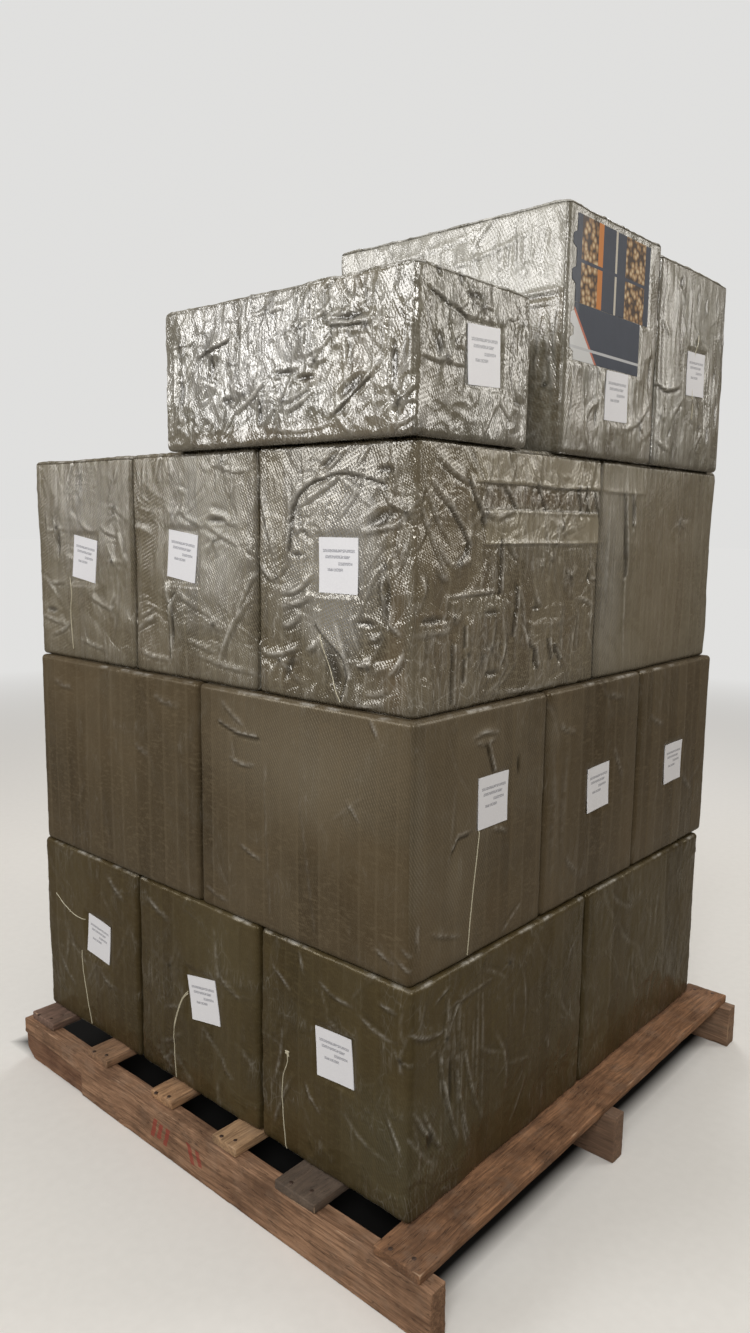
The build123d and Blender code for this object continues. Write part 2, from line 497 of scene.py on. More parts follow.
calmSides = {  # how much smoother than its tier a side is
    ("wrap_tier_4_tall_front", "x+"): 0.70,
    ("wrap_tier_4_tall_front", "y-"): 0.55,
    ("wrap_tier_4_tall_rear", "x+"): 0.75,
    ("wrap_tier_4_low", "x+"): 0.35,
    ("wrap_tier_4_low", "y-"): 0.15,
    ("wrap_tier_3_rear_right", "x+"): 0.90,
    ("wrap_tier_3_front_right", "x+"): 0.38,
    ("wrap_tier_3_front_right", "y-"): 0.45,
    ("wrap_tier_3_front_middle", "y-"): 0.65,
    ("wrap_tier_3_front_left", "y-"): 0.70,
}
sideWords = {  # words in a wrap's name that say which of its sides no neighbour hides
    "y-": ("front", "low"),
    "y+": ("rear",),
    "x+": ("right", "low", "tall"),
    "x-": ("left", "low", "tall"),
    "z+": ("tier_3", "tier_4"),
}
wrapEdge = 11.0
steps = {"tier_1": 6.8, "tier_2": 7.4, "tier_3": 4.7, "tier_4": 5.2, "far": 16.0}  # between lattice rows
closeSteps = {"wrap_tier_4_low": 3.6, "wrap_tier_2_front_right": 4.8, "wrap_tier_1_front_right": 4.5}
lumpSize, warpSize, warpReach = 190.0, 80.0, 14.0
crushes = ((62.0, 2.6, 50, 1.0), (31.0, 2.4, 60, 0.6))  # size, sharpness, seed, share
deepestDent, deepestEdgeDent, highestFold = -3.3, -0.7, 10.0
zoneMargin = 9.0  # round a label, a card or a carton that stands on top
tapeWidth, tapeMargins = 50.0, (20.0, 30.0, 22.0)  # margins at a side's two ends
tapeEdge, seamHalf, tapeRise = 0.9, 1.2, 0.5  # step at a tape's edge, its pale line, its height
ribPitch = 0.0074  # one diagonal rib of the cloth, in metres
ribDepth, filmDepth, grainDepth = 0.0006, 0.0060, 0.0007  # in metres
filmGlint = (0.80, 0.80, 0.77)
# painted reflection of broad light on the film
filmReflectionColour = (0.58, 0.58, 0.54)

# Folds placed one by one. u runs from the left of a side as seen from outside, v from its bottom.
# creases: u, v at both ends, width, height, bow. slits: points along a flap's open edge.
# tones: soft ovals of painted silvery reflection above 0 and of brown cloth with painted shade below 0, as u,
# v, half sizes, level.
# bars: bands of tape that lie along a side, as u from, u to, v from, v to, how milky.
# streaks: bundles of fine upright pleats, as u from, u to, v from, v to, count.
# hollows: u, v, half width, half height, depth and, where they lean, degrees to the right.
# pinches: u, v, reach, rays, height.
placedFolds = {
    ("wrap_tier_3_front_right", "y-"): {
        "tones": [(180, 330, 150, 170, 1.7), (215, 150, 60, 60, 1.3), (370, 160, 25, 200, -1),
                  (60, 60, 120, 70, -0.6), (345, 60, 60, 60, -0.6), (30, 350, 15, 55, 0.9),
                  (80, 310, 20, 80, -1), (345, 355, 30, 45, -1)],
        "slits": [[(95, 300), (105, 380), (125, 405), (160, 425), (225, 440), (270, 435), (330, 420)],
                  [(175, 150), (190, 135), (245, 95), (255, 60), (240, 20)]],
        "hollows": [(335, 355, 16, 42, 3.2, 72), (105, 360, 9, 40, 2.8, 14), (340, 440, 22, 9, 2.6),
                    (200, 460, 8, 26, 2.6, 55), (95, 65, 12, 32, 2.8, 24), (215, 75, 20, 52, 2.6, -24),
                    (295, 165, 26, 7, 2.6), (350, 210, 7, 50, 2.6), (120, 285, 22, 6, 2.2)],
        "pinches": [(390, 365, 105, 9, 3.2), (60, 240, 60, 5, 2.4), (345, 270, 60, 5, 2.6)],
        "creases": [(5, 415, 50, 290, 11, 6.5, 0), (10, 265, 55, 235, 12, 6, 3),
                    (75, 210, 155, 245, 12, 6, 6), (75, 185, 160, 210, 11, 5.5, 5),
                    (70, 145, 125, 170, 11, 5.5, 4), (10, 85, 125, 110, 10, 5, 6),
                    (290, 330, 380, 345, 6, 5, -5), (340, 270, 345, 175, 7, 4, 4),
                    (345, 175, 380, 150, 7, 4, 2), (330, 410, 385, 370, 6, 4, 2),
                    (180, 125, 230, 10, 6, 6, -4), (340, 225, 360, 160, 9, 5, 2),
                    (350, 75, 385, 120, 9, 5, 2), (275, 10, 340, 20, 8, 4.5, 2),
                    (305, 140, 335, 150, 14, 6, 4), (275, 85, 310, 90, 13, 6, 4),
                    (145, 105, 170, 120, 13, 6, 4), (120, 330, 155, 325, 13, 6, -10),
                    (130, 485, 150, 385, 4, 3.2, 0), (145, 485, 165, 420, 4, 3, 0),
                    (160, 485, 175, 425, 4, 3, 0), (195, 440, 240, 480, 5, 3.5, 0),
                    (260, 440, 300, 485, 5, 3, 3), (330, 300, 370, 470, 5, 2.6, 6)],
    },
    ("wrap_tier_3_front_middle", "y-"): {
        "tones": [(270, 320, 150, 170, 1.3), (60, 80, 90, 90, -0.5), (30, 260, 40, 250, -0.3),
                  (220, 30, 200, 40, -0.4)],
        "streaks": [(20, 130, 380, 485, 8), (180, 400, 370, 480, 10)],
        "slits": [[(155, 185), (130, 155), (135, 100), (135, 50)]],
        "hollows": [(145, 120, 8, 50, 2.4), (300, 350, 30, 8, 1.6)],
        "pinches": [(320, 470, 90, 7, 2.6), (150, 360, 60, 5, 2)],
        "creases": [(250, 475, 285, 450, 5, 3, 3), (290, 470, 400, 450, 6, 3, 8),
                    (140, 490, 150, 435, 5, 3, 0), (170, 375, 265, 335, 6, 3, 3),
                    (270, 340, 380, 300, 6, 3, 4), (170, 350, 250, 320, 6, 2.6, 3),
                    (320, 360, 365, 340, 5, 2.6, 2), (15, 50, 135, 40, 6, 2.6, 3),
                    (235, 60, 420, 40, 7, 3, 5), (150, 195, 290, 145, 6, 2.6, 4),
                    (350, 455, 345, 385, 5, 3, 0), (185, 90, 300, 70, 6, 2.6, 3),
                    (20, 130, 75, 155, 6, 2.6, 2)],
    },
    ("wrap_tier_3_front_left", "y-"): {
        "tones": [(230, 380, 180, 110, 0.9), (60, 200, 60, 230, -0.3), (250, 80, 200, 80, -0.3),
                  (90, 250, 90, 160, 0.5)],
        "hollows": [(105, 290, 9, 36, 2.6), (210, 440, 8, 30, 2), (60, 120, 30, 8, 1.8)],
        "pinches": [(100, 330, 70, 6, 2.4), (345, 360, 60, 5, 2.2)],
        "creases": [(205, 485, 205, 390, 5, 3.2, 0), (370, 460, 325, 360, 6, 3, 4),
                    (200, 350, 260, 320, 6, 3, 3), (290, 335, 365, 315, 6, 3, 2),
                    (240, 165, 350, 135, 6, 2.8, 3), (85, 365, 105, 290, 6, 3, 2),
                    (0, 105, 135, 85, 6, 3, 4), (190, 55, 315, 35, 6, 2.8, 3),
                    (50, 365, 50, 305, 6, 3, 0), (55, 185, 130, 195, 6, 2.6, 2)],
    },
    ("wrap_tier_3_front_right", "x+"): {
        "bars": [(170, 645, 425, 485, 2.8), (200, 645, 375, 425, -0.6), (205, 640, 310, 375, 3),
                 (100, 265, 170, 215, 1)],
        "tones": [(90, 250, 130, 260, -0.9), (420, 140, 300, 130, -0.8), (410, 400, 230, 22, -1.3),
                  (50, 180, 45, 12, -1.5), (410, 455, 250, 32, 1.1), (430, 345, 220, 34, 1.2),
                  (185, 195, 80, 25, 0.7)],
        "streaks": [(195, 620, 380, 425, 26), (240, 620, 220, 310, 14), (30, 220, 20, 200, 8),
                    (280, 620, 20, 200, 12)],
        "slits": [[(155, 425), (170, 400), (190, 375), (200, 355)], [(265, 310), (265, 265), (260, 220)],
                  [(100, 375), (120, 355), (140, 335), (155, 310), (145, 290), (125, 275)],
                  [(320, 220), (320, 190), (315, 165), (310, 135)], [(450, 105), (460, 75)],
                  [(475, 95), (495, 70)], [(115, 120), (115, 70), (115, 20)], [(150, 150), (150, 125)],
                  [(150, 90), (150, 60)], [(385, 425), (415, 385)], [(555, 425), (565, 380)],
                  [(585, 425), (595, 380)], [(275, 415), (305, 385)], [(625, 415), (640, 380)],
                  [(380, 105), (400, 90), (405, 60)]],
        "hollows": [(395, 75, 10, 20, 3), (240, 60, 26, 8, 3), (390, 180, 20, 7, 2.6),
                    (605, 235, 8, 12, 2.8), (150, 300, 10, 22, 3, 20), (230, 180, 30, 7, 2.2),
                    (50, 175, 40, 8, 2.4), (475, 85, 8, 12, 2.4)],
        "pinches": [(200, 370, 70, 5, 2.6), (125, 275, 60, 5, 2.6)],
        "creases": [(0, 410, 95, 245, 6, 3.4, 6), (30, 410, 105, 305, 6, 3.2, 5),
                    (45, 475, 160, 420, 7, 3.8, 6), (40, 425, 110, 375, 6, 3.4, 4),
                    (60, 320, 105, 270, 6, 3.4, 4), (60, 275, 95, 245, 7, 4, 4),
                    (185, 365, 240, 360, 9, 6, -4), (240, 360, 305, 375, 8, 5, -4),
                    (280, 320, 320, 280, 7, 4, 3), (250, 320, 260, 285, 5, 3, 0),
                    (310, 430, 630, 430, 4, 4, 3), (205, 310, 640, 305, 4, 3, 0),
                    (170, 425, 310, 425, 4, 2.6, 0), (200, 375, 640, 375, 4, 2.6, 3),
                    (95, 215, 260, 220, 4, 3.6, 0), (420, 370, 435, 285, 5, 3.5, 0),
                    (475, 370, 455, 275, 5, 3.5, 0), (435, 285, 455, 275, 5, 4, 0),
                    (205, 115, 215, 65, 6, 4, -3), (265, 65, 280, 150, 6, 4, 5),
                    (385, 220, 410, 185, 8, 4, 0), (510, 255, 540, 220, 6, 4, -3),
                    (565, 190, 630, 170, 5, 3.5, -4), (0, 150, 100, 155, 5, 3, 3),
                    (220, 25, 500, 15, 5, 3, 4), (330, 220, 350, 150, 6, 3, 2),
                    (560, 150, 545, 70, 5, 3, 2)],
    },
    ("wrap_tier_3_rear_right", "x+"): {
        "bars": [(5, 210, 425, 485, 1.7)],
        "tones": [(60, 250, 60, 230, 0.7), (105, 455, 100, 30, 0.8), (330, 200, 190, 260, -1)],
        "streaks": [(20, 100, 40, 400, 10)],
        "slits": [[(110, 415), (120, 330), (125, 240)], [(150, 415), (155, 355)]],
        "hollows": [(115, 330, 6, 80, 2.6), (155, 385, 6, 30, 2.4)],
        "creases": [(0, 425, 210, 425, 5, 2, 1), (210, 490, 210, 425, 5, 2, 0),
                    (115, 490, 140, 5, 6, 2.4, 2)],
    },
    ("wrap_tier_4_low", "y-"): {
        "tones": [(230, 170, 250, 120, 1), (590, 120, 120, 130, -0.7), (340, 10, 420, 30, -1.4),
                  (520, 150, 70, 60, -0.5), (520, 275, 110, 25, -0.9), (165, 160, 15, 45, -1.2),
                  (240, 215, 30, 30, -0.9), (430, 115, 40, 20, -0.9), (60, 200, 60, 60, -0.4),
                  (40, 60, 50, 40, -0.6)],
        "streaks": [(395, 465, 110, 280, 14), (110, 185, 120, 260, 12), (190, 335, 130, 250, 16),
                    (20, 80, 60, 250, 8), (250, 330, 20, 120, 6), (590, 680, 60, 270, 10)],
        "slits": [[(125, 185), (160, 195), (200, 205)], [(495, 200), (575, 195)],
                  [(505, 50), (540, 75), (580, 100)]],
        "hollows": [(535, 210, 40, 9, 3), (545, 90, 14, 34, 3.2, 62), (160, 165, 9, 34, 3),
                    (375, 130, 34, 7, 2.4), (430, 115, 26, 7, 2.6), (60, 120, 10, 40, 2.2),
                    (640, 120, 9, 40, 2.6), (300, 60, 8, 30, 2.4), (210, 90, 20, 8, 2.4)],
        "pinches": [(500, 195, 90, 8, 3.4), (575, 190, 70, 7, 3), (655, 60, 80, 8, 3.2),
                    (150, 190, 70, 7, 3), (370, 80, 90, 8, 3.2), (60, 210, 80, 7, 3)],
        "creases": [(495, 220, 575, 225, 5, 3.4, 2), (230, 65, 320, 125, 6, 3.6, 4),
                    (370, 75, 440, 100, 6, 3.4, 3), (375, 60, 445, 90, 6, 3.4, 3),
                    (340, 135, 415, 130, 5, 3, 2), (200, 115, 230, 75, 6, 3.4, 2),
                    (645, 225, 680, 190, 6, 3.4, 2), (325, 30, 495, 30, 6, 3, 4),
                    (640, 20, 685, 35, 6, 3, 2), (655, 45, 685, 90, 6, 3.2, 2),
                    (390, 210, 415, 215, 5, 3, 2), (410, 275, 400, 150, 4, 3.6, 0),
                    (425, 275, 420, 140, 4, 3.6, 0), (440, 275, 440, 165, 4, 3.6, 0),
                    (455, 275, 455, 190, 4, 3.2, 0)],
    },
    ("wrap_tier_4_low", "x+"): {
        "tones": [(60, 60, 90, 80, -0.6), (290, 120, 60, 170, -0.3), (20, 180, 30, 150, -0.4)],
        "streaks": [(120, 215, 200, 280, 12), (20, 100, 160, 280, 8), (230, 330, 60, 270, 10)],
        "slits": [[(110, 220), (155, 205)], [(40, 240), (85, 225)]],
        "hollows": [(55, 275, 8, 12, 2.4), (120, 275, 8, 14, 2.6), (160, 250, 26, 7, 2.6),
                    (60, 155, 12, 22, 2.6)],
        "pinches": [(75, 135, 70, 7, 3), (180, 235, 70, 7, 3)],
        "creases": [(50, 175, 75, 135, 6, 3.2, 2), (15, 135, 75, 130, 6, 3, 2),
                    (135, 275, 180, 230, 6, 3.4, 3), (185, 240, 215, 235, 5, 2.8, 1),
                    (260, 230, 285, 230, 5, 2.6, 1), (150, 85, 160, 70, 5, 2.6, 1),
                    (245, 80, 285, 50, 6, 3, 2)],
    },
    ("wrap_tier_4_tall_rear", "x+"): {
        "tones": [(60, 330, 90, 160, -0.4), (300, 150, 160, 150, -0.35)],
        "streaks": [(30, 180, 250, 460, 12), (220, 370, 60, 300, 12)],
        "slits": [[(10, 185), (50, 175), (100, 185)]],
        "hollows": [(200, 405, 6, 25, 3), (250, 400, 5, 19, 3), (325, 410, 6, 26, 3),
                    (375, 410, 5, 20, 2.6), (375, 275, 6, 50, 3), (105, 430, 11, 15, 3, 40),
                    (325, 240, 5, 17, 2.6), (80, 80, 5, 16, 2.4, 25), (235, 160, 5, 17, 2.6),
                    (300, 90, 6, 24, 2.4), (350, 150, 6, 42, 2.4)],
        "creases": [(215, 335, 205, 285, 5, 5, 0), (20, 340, 60, 300, 8, 4, 3),
                    (10, 60, 90, 40, 7, 4, 3)],
        "pinches": [(60, 185, 60, 6, 2.6), (350, 340, 70, 7, 2.6)],
    },
    ("wrap_tier_2_front_left", "y-"): {
        "tones": [(300, 430, 260, 60, 0.35), (300, 100, 330, 160, -0.8), (300, 250, 600, 400, -0.3)],
        "creases": [(60, 440, 150, 430, 6, 2.6, 3), (420, 330, 470, 310, 6, 2.6, 2),
                    (500, 455, 590, 440, 6, 3, 3)],
    },
    ("wrap_tier_1_front_right", "y-"): {
        "tones": [(360, 120, 130, 130, 0.8), (130, 120, 120, 160, -0.4)],
        "creases": [(40, 405, 90, 370, 6, 2.6, 2), (180, 415, 265, 395, 6, 3, 3),
                    (120, 460, 130, 420, 6, 2.6, 0), (140, 180, 150, 145, 6, 2.6, 1),
                    (140, 180, 180, 135, 6, 2.6, 2), (335, 425, 375, 420, 6, 3, 1),
                    (360, 205, 395, 140, 7, 3, 2)],
        "pinches": [(390, 330, 60, 4, 2)],
    },
    ("wrap_tier_4_tall_front", "y-"): {
        "tones": [(570, 130, 90, 210, -1.1), (590, 290, 60, 40, -0.6)],
        "streaks": [(330, 600, 340, 470, 26), (60, 320, 340, 480, 14), (530, 600, 60, 290, 8)],
        "creases": [(150, 440, 420, 470, 4, 3, 4), (300, 400, 560, 450, 4, 3, 4),
                    (515, 320, 610, 320, 6, 5, 2), (570, 275, 555, 165, 5, 4, 2),
                    (610, 300, 595, 175, 5, 4, 2), (500, 300, 600, 300, 4, 3, 1)],
    },
    ("wrap_tier_4_tall_front", "x+"): {
        "tones": [(210, 80, 260, 90, -0.6), (60, 150, 60, 200, -0.5), (100, 150, 35, 70, 0.5),
                  (370, 250, 60, 300, -0.5)],
        "streaks": [(20, 390, 20, 200, 16), (80, 130, 90, 210, 8)],
        "hollows": [(140, 175, 7, 19, 2.8), (135, 85, 6, 24, 2.8), (380, 200, 6, 40, 2.6),
                    (345, 80, 7, 26, 2.4)],
        "pinches": [(60, 190, 70, 7, 3), (330, 90, 70, 7, 3)],
        "creases": [(140, 115, 100, 95, 6, 5, 2), (10, 15, 35, 230, 7, 4, 3)],
    },
    ("wrap_tier_1_front_right", "x+"): {
        "tones": [(60, 130, 110, 130, 0.8), (450, 250, 160, 220, -0.3)],
        "streaks": [(80, 240, 120, 440, 14)],
        "creases": [(0, 390, 95, 360, 7, 3.4, 8), (110, 425, 100, 340, 5, 3.2, 0),
                    (160, 420, 110, 340, 5, 3.2, 2), (80, 345, 150, 110, 6, 3.6, 6),
                    (100, 340, 90, 230, 5, 3, 2), (40, 215, 100, 110, 6, 3.4, 3),
                    (10, 230, 100, 115, 6, 3.4, 4), (70, 430, 110, 445, 5, 3, 1),
                    (140, 325, 165, 280, 5, 3, 2), (130, 340, 190, 80, 6, 3.2, 8),
                    (160, 330, 230, 120, 6, 2.8, 8)],
        "hollows": [(120, 250, 8, 60, 2.4), (60, 150, 12, 24, 2.2)],
        "pinches": [(105, 340, 70, 4, 2.2)],
    },
    ("wrap_tier_2_front_right", "y-"): {
        "tones": [(330, 390, 270, 130, 1), (60, 90, 160, 140, -0.4), (560, 90, 200, 130, -0.7),
                  (640, 330, 30, 180, 0.5)],
        "slits": [[(75, 425), (130, 410), (185, 410)]],
        "creases": [(105, 355, 180, 350, 5, 4.5, 3), (135, 170, 200, 150, 5, 4.5, 2),
                    (500, 490, 520, 460, 5, 4, 0), (445, 325, 475, 295, 5, 3.4, 0),
                    (520, 55, 565, 40, 5, 3.4, 0), (210, 360, 230, 10, 3, 1.8, 0),
                    (315, 320, 360, 30, 3, 1.8, 0), (80, 470, 150, 430, 6, 3, 3),
                    (585, 75, 640, 60, 5, 2.4, 2), (20, 45, 90, 30, 6, 2.4, 2),
                    (560, 60, 640, 20, 6, 2.6, 3)],
    },
    ("wrap_tier_2_front_right", "x+"): {
        "tones": [(10, 300, 30, 170, 0.7), (345, 100, 110, 170, -0.7), (130, 170, 25, 60, 0.6),
                  (200, 445, 60, 20, 0.5), (200, 300, 300, 300, 0.45)],
        "slits": [[(230, 420), (250, 370)], [(120, 240), (135, 260), (165, 260)]],
        "hollows": [(335, 365, 6, 24, 2.4)],
        "creases": [(180, 445, 260, 445, 7, 3.6, -8), (185, 435, 255, 435, 5, 3, 5),
                    (20, 120, 25, 60, 5, 3.4, 0), (250, 250, 300, 235, 6, 3, 2),
                    (60, 90, 150, 60, 6, 2.8, 4), (360, 60, 300, 20, 6, 3, 3)],
    },
    ("wrap_tier_2_middle_right", "x+"): {
        "tones": [(200, 200, 200, 260, -1.1), (90, 420, 120, 60, 0.6), (30, 250, 30, 240, 0.5),
                  (390, 250, 40, 240, 0.4)],
        "streaks": [(20, 90, 60, 400, 8)],
        "creases": [(40, 430, 110, 400, 6, 3, 3), (300, 330, 350, 250, 6, 3, 3),
                    (90, 120, 150, 60, 6, 3, 3), (240, 470, 330, 450, 6, 3, 3)],
    },
    ("wrap_tier_2_rear_right", "x+"): {
        "tones": [(200, 250, 300, 300, -0.8)],
        "creases": [(60, 380, 130, 350, 6, 3, 3), (260, 200, 330, 140, 6, 3, 3)],
    },
    ("wrap_tier_1_front_left", "y-"): {
        "tones": [(200, 240, 400, 400, -0.6)],
        "creases": [(300, 440, 360, 400, 7, 3.6, 3), (60, 160, 130, 100, 6, 3, 3),
                    (260, 180, 330, 150, 6, 3, 3)],
    },
    ("wrap_tier_1_front_middle", "y-"): {
        "tones": [(60, 240, 120, 300, -0.5), (300, 380, 150, 100, 0.3)],
        "creases": [(40, 430, 120, 400, 7, 3.6, 3), (300, 330, 380, 290, 6, 3, 3),
                    (310, 130, 350, 90, 6, 3, 2)],
    },
}

# Cream threads caught under the film: points as u, v
threads = {
    ("wrap_tier_1_front_left", "y-"): [
        [(50, 330), (90, 310), (140, 295), (190, 295)],
        [(170, 205), (175, 150), (190, 70), (205, 10)],
    ],
    ("wrap_tier_1_front_middle", "y-"): [
        [(190, 245), (165, 210), (140, 145), (135, 75), (140, 10)],
        [(190, 240), (170, 215), (150, 170), (140, 140)],
    ],
    ("wrap_tier_1_front_right", "y-"): [
        [(80, 230), (90, 220), (85, 230), (85, 205), (70, 160), (70, 95), (75, 35), (80, 5)],
        [(80, 230), (90, 230), (80, 225), (90, 225)],
    ],
    ("wrap_tier_2_front_right", "x+"): [[(205, 255), (200, 220), (190, 150), (180, 60), (175, 10)]],
    ("wrap_tier_3_front_left", "y-"): [[(155, 205), (160, 165), (150, 115), (155, 25)]],
    ("wrap_tier_3_front_right", "y-"): [[(180, 135), (205, 70), (235, 10)]],
    ("wrap_tier_4_tall_rear", "x+"): [[(210, 325), (200, 240), (200, 120)]],
}
threadRadius, threadLift = 1.2, 0.4


def clothWeave(finish, place):  # diagonal ribs broken into dashes, about -1 to 1
    bend = finish.noise(place, 5.0, 2.0) * 0.02
    x, y, z = finish.xyz(place)
    across = (x + y + bend) * (2 * pi / ribPitch)
    up = (z + bend) * (2 * pi / ribPitch)
    ribs = finish.sums("SINE", across + up * 0.6)
    dashes = finish.sums("SINE", up * 0.9 - across * 0.35)
    return ribs * 0.6 + ribs * dashes * 0.5


def wrapFinish(name, looks):
    finish = Finish(name, IOR=looks["bend"], Coat_Roughness=0.10, Specular_Tint=(*looks["tint"], 1))
    place = finish.place()
    weave = clothWeave(finish, place)
    calm, tone = finish.paint("calm"), finish.paint("tone")
    patch = finish.noise(place, 3.0, 3.0, 0.55)
    spots = finish.noise(place, 8.0, 3.0, 0.6, 0.8)
    streak = finish.noise(finish.stretch(place, (1.0, 1.0, 0.09)), 60.0, 3.0, 0.60)
    grain = finish.noise(finish.stretch(place, (1.0, 1.0, 0.5)), 300.0, 3.0, 0.6)
    ripple = finish.noise(finish.stretch(place, (0.30, 0.30, 1.0)), 170.0, 2.0, 0.6)
    broken = finish.ramp(finish.noise(place, 48.0, 3.0, 0.65), (0.40, 0.20), (0.60, 1.25))
    crumpled = finish.rise(spots + looks["creased"], 0.44, 0.58) * (1 - calm)  # creased film or smooth

    moved = finish.shift(place, finish.noise(place, 9.0, 2.0, 0.5) * 0.03)
    pleat = finish.noise(finish.stretch(moved, (1.0, 1.0, 0.07)), 62.0, 1.0, 0.5)
    swell = finish.noise(finish.stretch(moved, (1.0, 1.0, 0.7)), 13.0, 1.0, 0.4)
    facets, edges = [], []
    for scale, flat, thin in ((19.0, 0.6, 0.022), (52.0, 0.35, 0.05)):
        facets.append(finish.cells(finish.stretch(moved, (1.0, 1.0, flat)), scale, "DISTANCE_TO_EDGE"))
        edges.append(finish.ramp(facets[-1], (0.0, 1.0), (thin, 0.0)))
    pleatLine = finish.ramp(pleat, (0.475, 0.0), (0.495, 1.0), (0.515, 0.0))
    pleatShade = finish.ramp(pleat, (0.515, 0.0), (0.545, 1.0), (0.60, 0.0))
    glints = edges[0] * 0.45 + edges[1] * 0.35 + pleatLine * 0.75

    pale, dark, shadow = looks["pale"], shade(looks["cloth"], 0.62), shade(looks["cloth"], 0.16)
    ribLight = finish.rise(weave * 0.5 + 0.5, 0.40, 0.85)
    ribShare = (1 - crumpled * 0.6) * (0.50 * looks["weave"]) + tone * 0.30
    rippled = finish.rise(ripple, 0.50, 0.66) * finish.ramp(spots, (0.42, 1.0), (0.56, 0.15))
    cloth = finish.layered(dark, [
        (finish.rise(patch, 0.35, 0.65), shade(looks["cloth"], 1.28)),
        # painted sheen of the film
        (finish.rise(spots, 0.44, 0.60) * looks["sheen"], looks["silver"]),
        # painted silvery reflection on the ribs where a tone is above 0; brown cloth with painted shade where
        # it is below 0
        (tone * (ribLight * 0.75 + 0.34), looks["bright"]),
        (tone * -0.70, looks["brown"]),
        # painted highlight on the weave's lit ribs
        (ribLight * ribShare, pale),
        (finish.rise(grain, 0.50, 0.72) * 0.20, pale),
        (finish.rise(streak, 0.50, 0.72) * looks["haze"], pale),
        (rippled * 0.40, pale),
        (finish.paint("tape") * looks["strips"], pale),
        (finish.paint("seam") * 0.25, pale),
        # painted reflection of broad light on the film, streaky
        (finish.paint("milk") * (streak * 0.6 + 0.6), filmReflectionColour),
        # painted shade beside pleats, painted glints on creased film and on crests
        (pleatShade * crumpled * (0.65 * looks["lines"]), shadow),
        (glints * crumpled * (0.66 * looks["lines"]), filmGlint),
        (finish.paint("crest") * broken * looks["glint"], filmGlint),
        # painted shade in hollows, creases, slits and at the foot of a side
        (finish.paint("hollow") * 0.90, shadow),
    ])

    fine, gloss = looks["fine"], looks["gloss"]
    crinkle = facets[0] * 1.6 + facets[1] * (0.5 * fine) + pleat * fine + edges[1] * 0.10
    swollen = swell * (1 - calm * 0.75) * (2.2 * looks["swell"])
    normal = finish.bump(weave, 0.45 * looks["weave"], ribDepth)
    normal = finish.bump(crinkle * crumpled + swollen + streak * 0.25, looks["crumple"], filmDepth, normal)
    normal = finish.bump(grain, 0.30, grainDepth, normal)
    rough = finish.ramp(patch * 0.5 + streak * 0.5, (0.38, gloss - 0.06), (0.62, gloss + 0.16))
    coat = (1 - calm) * looks["coat"]
    return finish.finishWith(Base_Color=cloth, Roughness=rough + calm * 0.20, Normal=normal, Coat_Weight=coat)


def threadFinish():
    finish = Finish("cream thread", Roughness=0.5, Coat_Weight=0.3)
    soft = finish.noise(finish.place(), 200.0, 2.0)
    return finish.finishWith(Base_Color=finish.mix(soft, (0.42, 0.40, 0.30), (0.62, 0.58, 0.45)))


def lineMeasure(u, v, u0, v0, u1, v1):  # how far along a line and to its right, and the line's length
    length = max(hypot(u1 - u0, v1 - v0), 1e-6)
    along = ((u - u0) * (u1 - u0) + (v - v0) * (v1 - v0)) / length
    side = ((u - u0) * (v1 - v0) - (v - v0) * (u1 - u0)) / length
    return along, side, length


